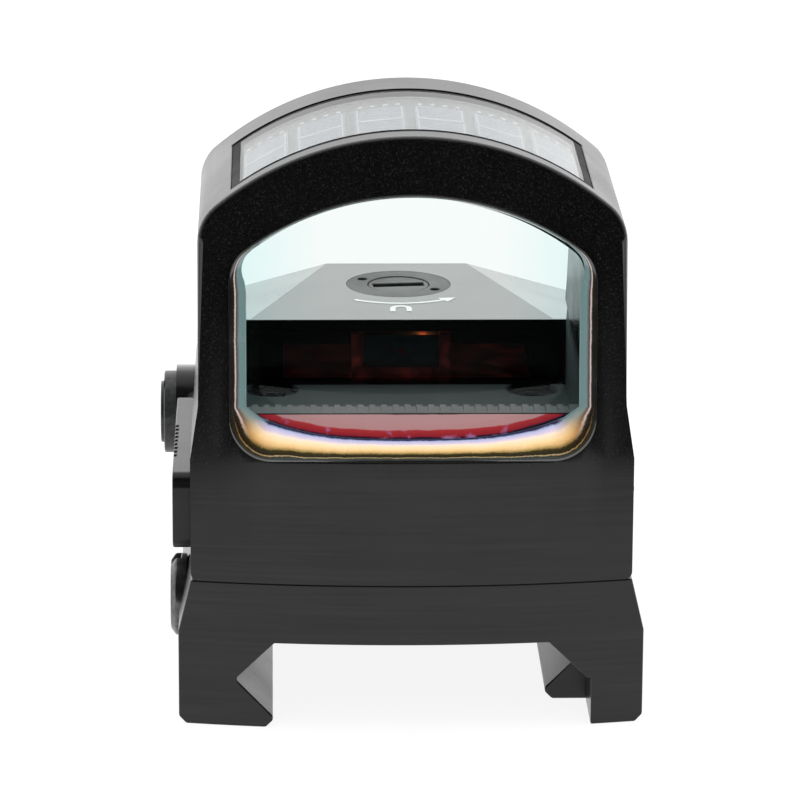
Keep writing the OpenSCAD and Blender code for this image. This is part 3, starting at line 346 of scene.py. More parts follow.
def redLit(name, colour, strength, look):
    material, tree, shader, place = newMaterial(name, Emission_Strength=strength)
    spots = useGroup(tree, grainGroup, Vector=place, Size=look["spots"], Patches=look["patches"])
    glowing = mathNode(tree, "POWER", spots["Grain"], look["power"])
    glowing = mixColour(tree, glowing, look["dim"], look["bright"])
    base = mixColour(tree, spots["Patch"], colour, tuple(value * look["lift"] for value in colour))
    feed(tree, shader, base, remap(tree, spots["Patch"], 0.0, 1.0, look["roughLow"], look["roughHigh"]))
    tree.links.new(glowing, shader.inputs["Emission Color"])
    return material


# Red light that the coating throws back along the foot of the lens, with violet patches low down
glowLook = {"wobbleScale": 900.0, "wobble": 0.03, "roughness": 0.35, "strength": 0.6,
            "bands": [(0.0, (0.003, 0.003, 0.006)), (0.1, (0.01, 0.008, 0.04)), (0.16, (0.45, 0.02, 0.04)),
                      (0.38, (0.62, 0.04, 0.05)), (0.43, (0.75, 0.36, 0.37)), (0.97, (0.72, 0.38, 0.4)),
                      (1.0, (0.3, 0.08, 0.09))],
            "violet": (0.6, 0.3, 0.65), "violetShare": 0.7, "violetNoise": (0.56, 0.66),
            "violetTop": (0.45, -0.2)}


def glowFinish(name, look):
    material, tree, shader, place = newMaterial(name, Roughness=look["roughness"],
                                                Emission_Strength=look["strength"])
    uv = add(tree, "ShaderNodeSeparateXYZ", {0: add(tree, "ShaderNodeUVMap", uv_map="bands").outputs[0]})
    wobble = add(tree, "ShaderNodeTexNoise", {"Vector": place, "Scale": look["wobbleScale"], "Detail": 4.0})
    wobble = wobble.outputs["Fac"]
    across = mathNode(tree, "ADD", uv.outputs["Y"], spread(tree, wobble, -look["wobble"], look["wobble"]))
    colour = ramp(tree, across, look["bands"])
    violet = remap(tree, wobble, *look["violetNoise"], 0.0, look["violetShare"])
    low = pastLine(tree, uv.outputs["Y"], *look["violetTop"])
    colour = mixColour(tree, product(tree, violet, low), colour, look["violet"])
    feed(tree, shader, colour, None, wobble, 0.1)
    tree.links.new(colour, shader.inputs["Emission Color"])
    return material


finishes = {
    "anodised_black": anodisedFinish("anodisedBlack", anodised),
    "lens_glass": glassFinish("coatedGlass", (0.915, 0.938, 0.93), (0.8, 0.91, 0.905), 13 * mm, 0.01, 1.2),
    "clear_cover": glassFinish("clearCover", (0.86, 0.88, 0.88), (0.84, 0.87, 0.87), 11 * mm, 0.06, 1.2),
    "pane_glass": glassFinish("darkPane", (0.55, 0.55, 0.57), (0.5, 0.52, 0.55), 12 * mm, 0.03, 1.5),
    "sealant": simpleFinish("curedSealant", (0.02, 0.022, 0.02), (0.05, 0.055, 0.05), 0.3, 0.5),
    "solar_cell": simpleFinish("solarSilicon", (0.1, 0.125, 0.165), (0.13, 0.16, 0.21), 0.35, 0.45,
                               Specular_IOR_Level=0.15),
    "circuit_board": simpleFinish("solderMask", (0.004, 0.03, 0.014), (0.01, 0.05, 0.024), 0.25, 0.4,
                                  Coat_Weight=0.5),
    "rubber": simpleFinish("blackRubber", (0.008, 0.008, 0.008), (0.02, 0.02, 0.02), 0.6, 0.85),
    "copper_strip": linedFinish("copperStrip", (0.5, 0.26, 0.12), (0.7, 0.4, 0.2), 0.25, 0.45,
                                (200, 5000, 200), Metallic=1.0),
    "machined_steel": linedFinish("machinedSteel", (0.3, 0.3, 0.31), (0.5, 0.5, 0.51), 0.25, 0.4,
                                  (300, 300, 5000), Metallic=1.0),
    "black_plastic": simpleFinish("mouldedPlastic", (0.008, 0.008, 0.009), (0.016, 0.016, 0.017), 0.35, 0.55),
    "emitter": redLit("litPlastic", (0.01, 0.009, 0.009), 0.08, redLight),
    "emitterSteel": redLit("litSteel", (0.05, 0.045, 0.045), 0.032, redLight),
    "diode_red": simpleFinish("redResin", (0.5, 0.01, 0.008), (0.75, 0.03, 0.02), 0.1, 0.25),
    "mask_chrome": simpleFinish("maskChrome", (0.1, 0.1, 0.11), (0.18, 0.18, 0.19), 0.1, 0.2, Metallic=1.0),
    "adjuster_grey": linedFinish("turnedGrey", (0.02, 0.021, 0.021), (0.05, 0.052, 0.052), 0.3, 0.42,
                                 (2500, 2500, 2500)),
    "spring_steel": linedFinish("springSteel", (0.4, 0.4, 0.41), (0.6, 0.6, 0.61), 0.2, 0.35,
                                (3000, 3000, 600), Metallic=1.0),
    "brass": linedFinish("turnedBrass", (0.5, 0.36, 0.14), (0.68, 0.5, 0.22), 0.25, 0.4,
                         (4000, 300, 300), Metallic=1.0),
    "button_rubber": simpleFinish("satinButton", (0.008, 0.008, 0.009), (0.022, 0.022, 0.023), 0.45, 0.65),
    "battery_steel": linedFinish("nickelSteel", (0.5, 0.5, 0.5), (0.68, 0.68, 0.67), 0.2, 0.35,
                                 (300, 300, 4000), Metallic=1.0),
    "blackened_steel": linedFinish("blackenedSteel", (0.08, 0.08, 0.082), (0.16, 0.16, 0.162), 0.25, 0.38,
                                   (2500, 2500, 2500), Metallic=0.9),
}
solarBoard = simpleFinish("solarBoard", (0.045, 0.055, 0.046), (0.07, 0.085, 0.072), 0.4, 0.5,
                          Specular_IOR_Level=0.15)
mountFinish = anodisedFinish("anodisedMount", mountAnodised)
whitePrint = simpleFinish("whitePrint", (0.8, 0.82, 0.82), (0.9, 0.92, 0.92), 0.5, 0.7, grain=0.05 * mm)
silverPrint = linedFinish("silverPrint", (0.4, 0.42, 0.45), (0.55, 0.57, 0.6), 0.3, 0.45,
                          (500, 5000, 500), Specular_IOR_Level=0.2)
rimColoursAndGlow = rimFinish("coatingBandsAndGlow", rimLook)
glowColours = glowFinish("coatingGlow", glowLook)
print("finishes made:", len(bpy.data.materials))


# Mesh helpers

def meshFrom(work, name):
    mesh = bpy.data.meshes.new(name)
    work.to_mesh(mesh)
    work.free()
    return mesh


def newPiece(name, mesh, body, material):
    piece = bpy.data.objects.new(name, mesh)
    bpy.context.scene.collection.objects.link(piece)
    mesh.materials.clear()
    mesh.materials.append(material)
    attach(piece, body)
    return piece


def widthAcross(face):
    return face.calc_area() / max(edge.calc_length() for edge in face.edges)


# An edge is sharp past the soft angle, and past a small angle between two wide faces
welding = {"mergeDistance": 0.0005 * mm, "flatAngle": math.radians(0.4), "softAngle": 28,
           "wideFace": 1.5 * mm, "wideAngle": math.radians(5)}


def markEdges(work, softAngle, bevelWidth, widthOf):
    layer = work.edges.layers.float.new("bevel_weight_edge")
    for edge in work.edges:
        if len(edge.link_faces) != 2:
            edge.smooth = False
            continue
        angle = edge.calc_face_angle(0)
        wide = min(widthAcross(face) for face in edge.link_faces) > welding["wideFace"]
        edge.smooth = not (angle > softAngle or (angle > welding["wideAngle"] and wide))
        if bevelWidth and angle > softAngle:
            width = widthOf(edge) if widthOf else bevelWidth
            edge[layer] = min(1.0, width / bevelWidth)


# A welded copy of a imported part, with its edges broken by a narrow bevel
def refine(node, pieceName, bevel, widthOf=None, softAngle=welding["softAngle"], material=None, edit=None):
    work = bmesh.new()
    work.from_mesh(nodes[node].data)
    bmesh.ops.remove_doubles(work, verts=work.verts, dist=welding["mergeDistance"])
    bmesh.ops.dissolve_limit(work, angle_limit=welding["flatAngle"], verts=work.verts, edges=work.edges)
    for face in work.faces:
        face.smooth = True
    if edit:
        edit(work)
    markEdges(work, math.radians(softAngle), bevel, widthOf)
    slot = slotOf[node]
    piece = newPiece(pieceName, meshFrom(work, pieceName), bodyOf[node], material or finishes[slot])
    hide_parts(node)
    if bevel:
        modifier = piece.modifiers.new("brokenEdges", "BEVEL")
        modifier.limit_method = "WEIGHT"
        modifier.width = bevel
        modifier.segments = 2
        modifier.use_clamp_overlap = False
        modifier.harden_normals = True
        modifier.loop_slide = False
    shading = piece.modifiers.new("evenShading", "WEIGHTED_NORMAL")
    shading.keep_sharp = True
    return piece


# Hood: a roof on one radius, rounded shoulders and upright sides
hood = {"half": 14.4 * mm, "shoulder": 3.2 * mm, "foot": flareZ + 3 * mm}
shoulderX = hood["half"] - hood["shoulder"]
shoulderZ = roofAxisZ + math.sqrt((roofRadius - hood["shoulder"]) ** 2 - shoulderX ** 2)


# Distance of a point from the hood's outer skin, seen along the body
def fromSkin(x, z):
    x = abs(x)
    if z < shoulderZ:
        return hood["half"] - x
    if x / shoulderX > (z - roofAxisZ) / (shoulderZ - roofAxisZ):
        return hood["shoulder"] - math.hypot(x - shoulderX, z - shoulderZ)
    return roofRadius - math.hypot(x, z - roofAxisZ)


# Housing: a wide chamfer round the hood's front, narrower ones on its other outer edges.
# The sides stay sharp round the buttons, the tray and the windage boss
housing = {"hoodChamfer": 0.4 * mm, "windowChamfer": 0.1 * mm, "recessChamfer": 0.06 * mm,
           "outerChamfer": 0.132 * mm, "skinDepth": 0.12 * mm, "sideDepth": 0.1 * mm,
           "faceDepth": 0.35 * mm, "faceBow": 160 * mm,
           "windowHalf": 12.6 * mm, "windowFoot": flareZ + 0.1 * mm, "shortEdge": 0.5 * mm,
           "recessHalf": 13 * mm, "recessFront": frontY + 4 * mm, "recessBack": frontY + 19 * mm,
           "sideHalf": 14 * mm, "sideTop": flareZ - 1 * mm, "bossSide": -15 * mm,
           "buttonsFront": -14.5 * mm, "buttonsBack": -6.5 * mm, "trayBack": 10 * mm}


def housingEdgeWidth(edge):
    h = housing
    x, y, z = (edge.verts[0].co + edge.verts[1].co) / 2
    onHood = z > hood["foot"]
    onSkin = onHood and abs(fromSkin(x, z)) < h["skinDepth"]
    onRoof = onSkin and z > shoulderZ
    onSide = abs(x) > hood["half"] - h["sideDepth"]
    faceY = frontY + max(0, z - flareZ) * math.tan(faceLean) + x ** 2 / h["faceBow"]
    onFace = abs(y - faceY) < h["faceDepth"]
    lowSide = abs(x) > h["sideHalf"] and z < h["sideTop"]
    atButtons = lowSide and x > 0 and h["buttonsFront"] < y < h["buttonsBack"]
    atTray = lowSide and x < 0 and y < h["trayBack"]
    if not edge.is_convex:
        return 0
    if onFace and onSkin:
        return h["hoodChamfer"]
    if onFace and z > h["windowFoot"] and abs(x) < h["windowHalf"]:
        return h["windowChamfer"]
    if onRoof and abs(x) < h["recessHalf"] and h["recessFront"] < y < h["recessBack"]:
        return h["recessChamfer"]
    keptSharp = atButtons or atTray or x <= h["bossSide"] or (onFace and not onHood)
    if (onRoof or onSide) and edge.calc_length() > h["shortEdge"] and not keptSharp:
        return h["outerChamfer"]
    return 0


refine("housing", "housingShell", housing["hoodChamfer"], housingEdgeWidth)

# Width in millimetres of the bevel on each other part's outer edges
plainBevels = {"mount_base": 0.12, "clamp_jaw": 0.12, "battery_tray": 0.1, "elevation_ring": 0.08,
               "windage_ring": 0.12, "elevation_screw": 0.06, "windage_screw": 0.08,
               "battery_tray_screw": 0.05,
               "clamp_bolt_front": 0.1, "clamp_bolt_rear": 0.1, "sight_screws": 0.08, "button_plus": 0.06,
               "button_minus": 0.06, "battery_cell": 0.15, "emitter_carriage": 0.04, "emitter_carrier": 0.08,
               "control_chip": 0.03, "windage_nut": 0.08, "recoil_pins": 0.1, "bottom_screws": 0.03,
               "board_screws": 0.04, "bottom_plate": 0.06, "circuit_board": 0.04, "button_board": 0.04,
               "solar_gasket": 0.04, "lens_sealant": 0.0, "solar_board": 0.03, "solar_cells": 0.02,
               "emitter_board": 0.04, "reticle_mask": 0.03, "solar_flex": 0.03, "emitter_flex": 0.02,
               "battery_spring": 0.03, "battery_contact": 0.03, "bottom_seal": 0.0, "battery_tray_seal": 0.03,
               "button_boots": 0.04, "button_domes": 0.02, "emitter_diode": 0.04, "elevation_oring": 0.0,
               "windage_oring": 0.0, "elevation_detent": 0.0, "windage_detent": 0.0,
               "elevation_spring": 0.0, "windage_spring": 0.0}
ownFinishes = {"mount_base": mountFinish, "clamp_jaw": mountFinish, "battery_tray": mountFinish,
               "solar_board": solarBoard, "emitter_carriage": finishes["emitter"],
               "emitter_carrier": finishes["emitterSteel"]}


def pieceNameOf(node):
    words = node.split("_")
    return words[0] + "".join(word.capitalize() for word in words[1:])


def outerEdges(width):
    return lambda edge: width if edge.is_convex else 0


for node, width in plainBevels.items():
    refine(node, pieceNameOf(node), width * mm, outerEdges(width * mm), material=ownFinishes.get(node))

# The two emitter springs, listed with the joint and axis of their slides, get meshes of their own
springAxes = {"elevation_spring": ("emitter_lift", (0, 0, 1)), "windage_spring": ("emitter_shift", (1, 0, 0))}
for node, (joint, axis) in springAxes.items():
    low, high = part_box(node)
    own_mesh(bpy.data.objects[pieceNameOf(node)])
print("machined parts refined:", len(plainBevels) + 1)


# Outline of the window in the leaning face: x across, z up the face
window = {"half": 12.3 * mm, "low": 0.2 * mm, "top": 18.1 * mm, "footRadius": 2.9 * mm,
          "topRadius": 2.6 * mm, "archRadius": 19.1 * mm,
          "baseSteps": 20, "footSteps": 14, "sideSteps": 12, "topSteps": 10, "archSteps": 24}


def arcPoints(centre, radius, start, end, count):
    points = []
    for step in range(count + 1):
        angle = math.radians(start + (end - start) * step / count)
        points.append((centre[0] + radius * math.cos(angle), centre[1] + radius * math.sin(angle)))
    return points


def windowOutline():
    w = window
    footX, footZ = w["half"] - w["footRadius"], w["low"] + w["footRadius"]
    archZ = w["top"] - w["archRadius"]
    topX = w["half"] - w["topRadius"]
    topZ = archZ + math.sqrt((w["archRadius"] - w["topRadius"]) ** 2 - topX * topX)
    turn = math.degrees(math.atan2(topZ - archZ, topX))
    right = [(footX * step / w["baseSteps"], w["low"]) for step in range(w["baseSteps"])]
    right += arcPoints((footX, footZ), w["footRadius"], -90, 0, w["footSteps"])
    sideStep = (topZ - footZ) / w["sideSteps"]
    right += [(w["half"], footZ + sideStep * step) for step in range(1, w["sideSteps"])]
    right += arcPoints((topX, topZ), w["topRadius"], 0, turn, w["topSteps"])
    right += arcPoints((0, archZ), w["archRadius"], turn, 90, w["archSteps"])[1:]
    left = [(-x, z) for x, z in reversed(right[1:-1])]
    return right + left


def onLeaningFace(x, depth, up):
    y = frontY + depth * math.cos(faceLean) + up * math.sin(faceLean)
    z = flareZ - depth * math.sin(faceLean) + up * math.cos(faceLean)
    return Vector((x, y, z))


# A thin film on the lens, through columns of places that each carry their two map values
def makeFilm(name, columns, closed, material, film, offset):
    work = bmesh.new()
    uv = work.loops.layers.uv.new("bands")
    columns = [[(work.verts.new(spot), share) for spot, share in column] for column in columns]
    following = columns[1:] + columns[:1] if closed else columns[1:]
    for a, b in zip(columns, following):
        for row in range(len(a) - 1):
            if (b[row + 1][0].co - b[row][0].co).length < film["shortest"]:
                continue
            corners = [a[row], b[row], b[row + 1], a[row + 1]]
            face = work.faces.new([vertex for vertex, share in corners])
            face.smooth = True
            for loop, (vertex, share) in zip(face.loops, corners):
                loop[uv].uv = share
    bmesh.ops.delete(work, geom=[vertex for vertex in work.verts if not vertex.link_faces], context="VERTS")
    piece = newPiece(name, meshFrom(work, name), "sight", material)
    wall = piece.modifiers.new("filmThickness", "SOLIDIFY")
    wall.thickness = film["thickness"]
    wall.offset = offset
    return piece


# Bands of coating colour round the glass, with painted reflections and a painted glow: broad along the foot,
# narrow at the sides and top
rim = {"footTop": 1.68 * mm, "footCurve": 0.0014, "sideWidth": 1.15 * mm, "topWidth": 0.14 * mm, "rows": 12,
       "outerDepth": 0.3 * mm, "innerDepth": 0.66 * mm, "dish": 0.7, "step": 0.01 * mm, "widest": 4 * mm,
       "sideTop": 12 * mm, "footBlend": (0.6 * mm, 4.2 * mm), "topBlend": (11.5 * mm, 15.5 * mm),
       "thickness": 0.03 * mm, "shortest": 0.001 * mm}


def smoothStep(value, low, high):
    t = min(1, max(0, (value - low) / (high - low)))
    return t * t * (3 - 2 * t)


def footLine(x):
    return rim["footCurve"] * abs(x / mm) ** 3 * mm


def rimWidth(x, z, inward, sideWidth):
    width = 0.0
    while width < rim["widest"]:
        spotX, spotZ = abs(x + inward.x * width), z + inward.y * width
        pastFoot = spotZ > rim["footTop"] + footLine(spotX)
        pastSide = z > rim["sideTop"] or spotX < window["half"] - sideWidth
        if pastFoot and pastSide and width >= sideWidth:
            break
        width += rim["step"]
    return width


def makeRim():
    outline = windowOutline()
    columns = []
    for index, (x, z) in enumerate(outline):
        before, after = outline[index - 1], outline[(index + 1) % len(outline)]
        along = Vector((after[0] - before[0], after[1] - before[1])).normalized()
        inward = Vector((-along.y, along.x))
        footShare = 1 - smoothStep(z, *rim["footBlend"])
        topShare = smoothStep(z, *rim["topBlend"])
        width = rimWidth(x, z, inward, rim["sideWidth"] + (rim["topWidth"] - rim["sideWidth"]) * topShare)
        column = []
        for step in range(rim["rows"] + 1):
            share = step / rim["rows"]
            depth = rim["outerDepth"] + (rim["innerDepth"] - rim["outerDepth"]) * share ** rim["dish"]
            spot = onLeaningFace(x + inward.x * width * share, depth, z + inward.y * width * share)
            column.append((spot, (footShare, share)))
        columns.append(column)
    return makeFilm("lensRim", columns, True, rimColoursAndGlow, rim, 1)


makeRim()

# The lens: two cemented elements, and a sheet shut in behind the lower edge with the coating's red reflection
# painted on it
lens = {"back": 5.0 * mm, "pull": 0.12 * mm, "slack": 0.01 * mm, "softAngle": 20, "bevel": 0.08 * mm,
        "coverBevel": 0.08 * mm, "paneBevel": 0.06 * mm}


# Room for the sheet behind the rear element
def pullBackFace(work):
    for vertex in work.verts:
        local = vertex.co - Vector((0, frontY, flareZ))
        depth = local.y * math.cos(faceLean) - local.z * math.sin(faceLean)
        if depth > lens["back"] - lens["slack"]:
            vertex.co -= Vector((0, math.cos(faceLean), -math.sin(faceLean))) * lens["pull"]


def clearPiece(piece):
    piece.visible_shadow = False
    return piece


clearPiece(refine("lens_front", "lensFront", lens["bevel"], softAngle=lens["softAngle"]))
clearPiece(refine("lens_rear", "lensRear", 0.0, softAngle=lens["softAngle"], edit=pullBackFace))
clearPiece(refine("solar_cover", "solarCover", lens["coverBevel"]))
clearPiece(refine("emitter_window", "emitterWindow", lens["paneBevel"]))

glow = {"half": 10.5 * mm, "top": 2.82 * mm, "low": 1.0 * mm, "columns": 56, "rows": 16, "gap": 0.06 * mm,
        "thickness": 0.02 * mm, "shortest": 0.001 * mm}


def makeGlow():
    columns = []
    height = glow["top"] - glow["low"]
    for number in range(glow["columns"] + 1):
        x = glow["half"] * (2 * number / glow["columns"] - 1)
        rise = footLine(x)
        column = []
        for row in range(glow["rows"] + 1):
            up = glow["low"] + rise + (height - rise) * row / glow["rows"]
            share = max(0.0, (up - glow["low"] - rise) / height)
            spot = onLeaningFace(x, lens["back"] - glow["gap"], up)
            column.append((spot, (number / glow["columns"], share)))
        columns.append(column)
    return makeFilm("coatingGlow", columns, False, glowColours, glow, 0)


makeGlow()
print("lens made")


# Printed marks on the deck: an arc with an arrow head round the adjuster, and a small arch below it
deckMarks = {"radius": 5.7 * mm, "line": 0.34 * mm, "height": 0.02 * mm, "halfSweep": 36, "sweepStep": 4,
             "headLength": 0.9 * mm, "headBack": 0.25 * mm, "headHalf": 0.62 * mm, "headLift": 1.5,
             "archWidth": 1.2 * mm, "archGap": 7.1 * mm, "archLeg": 0.9 * mm, "archLine": 1.15,
             "archStep": 20}
ringLow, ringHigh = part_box("elevation_ring")
deckTop = ringHigh.z
adjusterY = (ringLow.y + ringHigh.y) / 2


def addStrip(work, points, width, z, height):
    rows = []
    for index, point in enumerate(points):
        before = points[max(0, index - 1)]
        after = points[min(len(points) - 1, index + 1)]
        along = (Vector(after) - Vector(before)).normalized()
        side = Vector((-along.y, along.x)) * width / 2
        left, right = Vector(point) + side, Vector(point) - side
        rows.append([work.verts.new((p.x, p.y, z + rise)) for p, rise in
                     ((left, 0), (left, height), (right, height), (right, 0))])
    for a, b in zip(rows, rows[1:]):
        for corner in range(4):
            following = (corner + 1) % 4
            work.faces.new([a[corner], a[following], b[following], b[corner]])
    work.faces.new(rows[0][::-1])
    work.faces.new(rows[-1])


def addTriangle(work, corners, z, height):
    low = [work.verts.new((c.x, c.y, z)) for c in corners]
    high = [work.verts.new((c.x, c.y, z + height)) for c in corners]
    work.faces.new(high)
    work.faces.new(low[::-1])
    for index in range(3):
        following = (index + 1) % 3
        work.faces.new([low[index], low[following], high[following], high[index]])


def makeDeckMarks():
    m = deckMarks
    work = bmesh.new()
    turns = [math.radians(a) for a in range(-m["halfSweep"], m["halfSweep"] + 1, m["sweepStep"])]
    sweep = [(m["radius"] * math.sin(turn), adjusterY - m["radius"] * math.cos(turn)) for turn in turns]
    addStrip(work, sweep, m["line"], deckTop, m["height"])
    tip = Vector(sweep[-1])
    direction = (tip - Vector(sweep[-2])).normalized()
    side = Vector((-direction.y, direction.x)) * m["headHalf"]
    back = tip - direction * m["headBack"]
    head = [tip + direction * m["headLength"], back + side, back - side]
    addTriangle(work, head, deckTop, m["height"] * m["headLift"])
    centre, half = adjusterY - m["archGap"], m["archWidth"] / 2
    turns = [math.radians(a) for a in range(180, -1, -m["archStep"])]
    arch = [(half * math.cos(turn), centre + half * math.sin(turn)) for turn in turns]
    arch = [(-half, centre - m["archLeg"])] + arch + [(half, centre - m["archLeg"])]
    addStrip(work, arch, m["line"] * m["archLine"], deckTop, m["height"])
    bmesh.ops.recalc_face_normals(work, faces=work.faces)
    return newPiece("deckMarks", meshFrom(work, "deckMarks"), "sight", whitePrint)


makeDeckMarks()


# Silver fingers and solder dots on the solar cells: small bars set round the roof's axis
def roofPatternTree():
    tree = bpy.data.node_groups.new("roofPattern", "GeometryNodeTree")
    numbers = [("Cells", "Int", 6), ("Cell Pitch", "Float", 0.2), ("Per Cell", "Int", 4),
               ("Bar Pitch", "Float", 0.02), ("Row Pitch", "Float", 0.0), ("Radius", "Float", 0.02),
               ("Axis Height", "Float", 0.0), ("Centre", "Float", 0.0), ("Bar Width", "Float", 0.0001),
               ("Bar Length", "Float", 0.005), ("Bar Height", "Float", 0.00005)]
    for label, kind, value in numbers:
        socket = tree.interface.new_socket(label, in_out="INPUT", socket_type="NodeSocket" + kind)
        socket.default_value = value
    tree.interface.new_socket("Finish", in_out="INPUT", socket_type="NodeSocketMaterial")
    tree.interface.new_socket("Geometry", in_out="OUTPUT", socket_type="NodeSocketGeometry")
    source, out = add(tree, "NodeGroupInput"), add(tree, "NodeGroupOutput")
    given = source.outputs

    def middleOf(count):
        return mathNode(tree, "DIVIDE", mathNode(tree, "SUBTRACT", count, 1.0), 2.0)

    spots = add(tree, "GeometryNodePoints", {"Count": product(tree, given["Cells"], given["Per Cell"])})
    index = add(tree, "GeometryNodeInputIndex").outputs[0]
    cell = mathNode(tree, "DIVIDE", mathNode(tree, "ADD", index, 0.5), given["Per Cell"])
    cell = mathNode(tree, "FLOOR", cell)
    bar = mathNode(tree, "SUBTRACT", index, product(tree, cell, given["Per Cell"]))
    cell = mathNode(tree, "SUBTRACT", cell, middleOf(given["Cells"]))
    bar = mathNode(tree, "SUBTRACT", bar, middleOf(given["Per Cell"]))
    barTurn = product(tree, bar, given["Bar Pitch"])
    turn = mathNode(tree, "ADD", product(tree, cell, given["Cell Pitch"]), barTurn)
    x = product(tree, given["Radius"], mathNode(tree, "SINE", turn))
    y = mathNode(tree, "ADD", given["Centre"], product(tree, bar, given["Row Pitch"]))
    rise = product(tree, given["Radius"], mathNode(tree, "COSINE", turn))
    z = mathNode(tree, "ADD", given["Axis Height"], rise)
    place = add(tree, "ShaderNodeCombineXYZ", {"X": x, "Y": y, "Z": z}).outputs[0]
    moved = add(tree, "GeometryNodeSetPosition", {"Geometry": spots.outputs[0], "Position": place})
    size = {"X": given["Bar Width"], "Y": given["Bar Length"], "Z": given["Bar Height"]}
    shape = add(tree, "GeometryNodeMeshCube", {"Size": add(tree, "ShaderNodeCombineXYZ", size).outputs[0]})
    spin = add(tree, "ShaderNodeCombineXYZ", {"Y": turn}).outputs[0]
    laid = add(tree, "GeometryNodeInstanceOnPoints",
               {"Points": moved.outputs[0], "Instance": shape.outputs[0], "Rotation": spin})
    real = add(tree, "GeometryNodeRealizeInstances", {0: laid.outputs[0]})
    done = add(tree, "GeometryNodeSetMaterial", {"Geometry": real.outputs[0], "Material": given["Finish"]})
    tree.links.new(done.outputs[0], out.inputs["Geometry"])
    return tree


panel = {"cells": 6, "cellPitch": 3.98 * mm, "cellDepth": 0.26 * mm, "printLift": 0.012 * mm,
         "printHeight": 0.03 * mm, "fingerRows": 14.6, "busReach": 0.92, "dotGap": 0.4 * mm}
cellsLow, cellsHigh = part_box("solar_cells")
cellRadius = cellsHigh.z - roofAxisZ + panel["printLift"]
cellLength = cellsHigh.y - cellsLow.y
cellMiddle = (cellsLow.y + cellsHigh.y) / 2
patternTree = roofPatternTree()
patterns = {
    "cellFingers": {"Per Cell": 14, "Bar Pitch": 0.0, "Row Pitch": cellLength / panel["fingerRows"],
                    "Bar Width": 3.15 * mm, "Bar Length": 0.05 * mm, "Centre": cellMiddle},
    "cellBusBars": {"Per Cell": 2, "Bar Pitch": 3.0 * mm / cellRadius, "Bar Width": 0.1 * mm,
                    "Bar Length": cellLength * panel["busReach"], "Centre": cellMiddle},
    "cellMiddleBars": {"Per Cell": 1, "Bar Pitch": 0.0, "Bar Width": 3.2 * mm, "Bar Length": 0.2 * mm,
                       "Centre": cellMiddle},
    "solderDots": {"Per Cell": 4, "Bar Pitch": 0.85 * mm / cellRadius, "Bar Width": 0.28 * mm,
                   "Bar Length": 0.4 * mm, "Centre": cellsHigh.y + panel["dotGap"], "Bar Height": 0.12 * mm},
}


def makePattern(name, settings):
    host = bpy.data.objects.new(name + "Host", bpy.data.meshes.new(name + "Host"))
    bpy.context.scene.collection.objects.link(host)
    modifier = host.modifiers.new("pattern", "NODES")
    modifier.node_group = patternTree
    cellTurn = panel["cellPitch"] / (cellRadius - panel["cellDepth"])
    values = {"Cells": panel["cells"], "Cell Pitch": cellTurn, "Radius": cellRadius, "Axis Height": roofAxisZ,
              "Bar Height": panel["printHeight"], "Finish": silverPrint, **settings}
    for item in patternTree.interface.items_tree:
        if item.in_out == "INPUT" and item.name in values:
            modifier[item.identifier] = values[item.name]
    host.update_tag()
    bpy.context.view_layer.update()
    shaped = host.evaluated_get(bpy.context.evaluated_depsgraph_get())
    mesh = bpy.data.meshes.new_from_object(shaped)
    mesh.name = name
    bpy.data.objects.remove(host)
    return newPiece(name, mesh, "sight", silverPrint)


for name, settings in patterns.items():
    makePattern(name, settings)
print("solar panel made")


# Floor and light: a bright card behind for the long reflections on the roof, a dark one before the object
studio = {"floorHalf": 1.6, "floorGlow": 0.89, "floorDark": (0.13, 0.13, 0.13),
          "floorLight": (0.14, 0.14, 0.14), "floorGrain": 4 * mm,
          "backHalf": 1.1, "backNear": 0.75, "backFar": 0.9, "backTop": 0.75, "backStrength": 1.45,
          "darkHalf": 0.5, "darkY": -0.14, "darkTop": 0.9, "darkLift": 0.001, "darkStrength": 0.004,
          "skyStrength": 0.9, "diodeColour": (1.0, 0.06, 0.03), "diodePower": 0.0014, "diodeSize": 0.6 * mm,
          "diodeX": 1.6 * mm, "diodeBehind": 1.1 * mm, "diodeBelow": 0.9 * mm}


def stageQuad(name, corners, material):
    mesh = bpy.data.meshes.new(name)
    mesh.from_pydata([tuple(c) for c in corners], [], [(0, 1, 2, 3)])
    quad = bpy.data.objects.new(name, mesh)
    bpy.context.scene.collection.objects.link(quad)
    mesh.materials.append(material)
    return quad


floorFinish = simpleFinish("paleFloor", studio["floorDark"], studio["floorLight"], 0.8, 0.9,
                           grain=studio["floorGrain"], bump=0.02, Emission_Color=(1.0, 1.0, 1.0),
                           Emission_Strength=studio["floorGlow"])
half = studio["floorHalf"]
corners = ((-half, -half), (half, -half), (half, half), (-half, half))
stageQuad("studioFloor", [(x, y, floorZ) for x, y in corners], floorFinish)


def glowCard(name, strength):
    material = bpy.data.materials.new(name)
    material.use_nodes = True
    tree = material.node_tree
    tree.nodes.clear()
    light = add(tree, "ShaderNodeEmission", {"Color": (1, 1, 1, 1), "Strength": strength})
    out = add(tree, "ShaderNodeOutputMaterial")
    tree.links.new(light.outputs[0], out.inputs["Surface"])
    return material


half, near, far, top = (studio[key] for key in ("backHalf", "backNear", "backFar", "backTop"))
corners = [(-half, far, 0.0), (half, far, 0.0), (half, near, top), (-half, near, top)]
backCard = stageQuad("backCard", corners, glowCard("brightCard", studio["backStrength"]))
half, near, top = (studio[key] for key in ("darkHalf", "darkY", "darkTop"))
low = floorZ + studio["darkLift"]
corners = [(half, near, low), (-half, near, low), (-half, near, top), (half, near, top)]
darkCard = stageQuad("darkCard", corners, glowCard("darkCloth", studio["darkStrength"]))
for card in (backCard, darkCard):
    card.visible_camera = False
    card.visible_shadow = False
darkCard.visible_diffuse = False

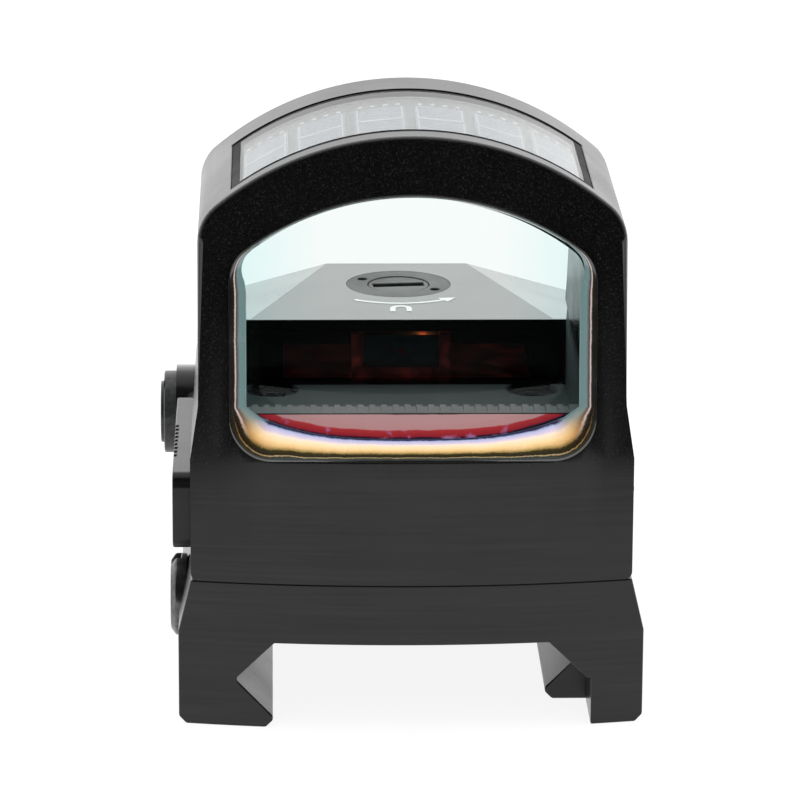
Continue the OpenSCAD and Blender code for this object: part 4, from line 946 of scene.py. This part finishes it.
softboxes = {"topSoftbox": {"place": (0, 0.05, 0.7), "target": (0, 0, 0), "size": (0.9, 0.9), "power": 3},
             "leftSoftbox": {"place": (-0.6, 0.05, 0.22), "target": (0, 0, 0.01), "size": (0.35, 0.5),
                             "power": 1.2},
             "rightSoftbox": {"place": (0.6, 0.05, 0.22), "target": (0, 0, 0.01), "size": (0.35, 0.5),
                              "power": 0.96}}


def newLamp(name, kind, power, place):
    data = bpy.data.lights.new(name, kind)
    data.energy = power
    lamp = bpy.data.objects.new(name, data)
    bpy.context.scene.collection.objects.link(lamp)
    lamp.location = place
    lamp.visible_glossy = False
    return lamp, data


for name, settings in softboxes.items():
    place = Vector(settings["place"])
    lamp, data = newLamp(name, "AREA", settings["power"], place)
    data.shape = "RECTANGLE"
    data.size, data.size_y = settings["size"]
    lamp.rotation_euler = (Vector(settings["target"]) - place).to_track_quat("-Z", "Y").to_euler()

# The diode's scattered light, behind the dark pane
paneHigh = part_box("emitter_window")[1]
diodePlace = (studio["diodeX"], paneHigh.y + studio["diodeBehind"], paneHigh.z - studio["diodeBelow"])
diodeGlow, data = newLamp("diodeGlow", "POINT", studio["diodePower"], diodePlace)
data.color = studio["diodeColour"]
data.shadow_soft_size = studio["diodeSize"]
diodeGlow.visible_camera = False
diodeGlow.visible_transmission = False

world = bpy.data.worlds.new("studioSky")
bpy.context.scene.world = world
world.use_nodes = True
sky = world.node_tree.nodes["Background"]
sky.inputs["Color"].default_value = (1, 1, 1, 1)
sky.inputs["Strength"].default_value = studio["skyStrength"]

# Camera: turned to the right, down and round its own axis, in degrees
view = {"place": (-9.38 * mm, -326.7 * mm, 102.27 * mm), "yaw": 1.61, "pitch": 15.97, "roll": 0.31,
        "lens": 211.88925, "sensor": 36, "near": 0.01, "far": 20}
yaw, pitch, roll = (math.radians(view[key]) for key in ("yaw", "pitch", "roll"))
forward = Vector((math.sin(yaw) * math.cos(pitch), math.cos(yaw) * math.cos(pitch), -math.sin(pitch)))
right = Vector((math.cos(yaw), -math.sin(yaw), 0))
up = right.cross(forward)
rolledRight = right * math.cos(roll) + up * math.sin(roll)
rolledUp = up * math.cos(roll) - right * math.sin(roll)
cameraData = bpy.data.cameras.new("mainCamera")
cameraData.lens = view["lens"]
cameraData.sensor_width = view["sensor"]
cameraData.clip_start = view["near"]
cameraData.clip_end = view["far"]
camera = bpy.data.objects.new("mainCamera", cameraData)
bpy.context.scene.collection.objects.link(camera)
turned = Matrix((rolledRight, rolledUp, -forward)).transposed().to_4x4()
camera.matrix_world = Matrix.Translation(view["place"]) @ turned
bpy.context.scene.camera = camera
bpy.context.scene.view_settings.view_transform = "Standard"
print("stage set")
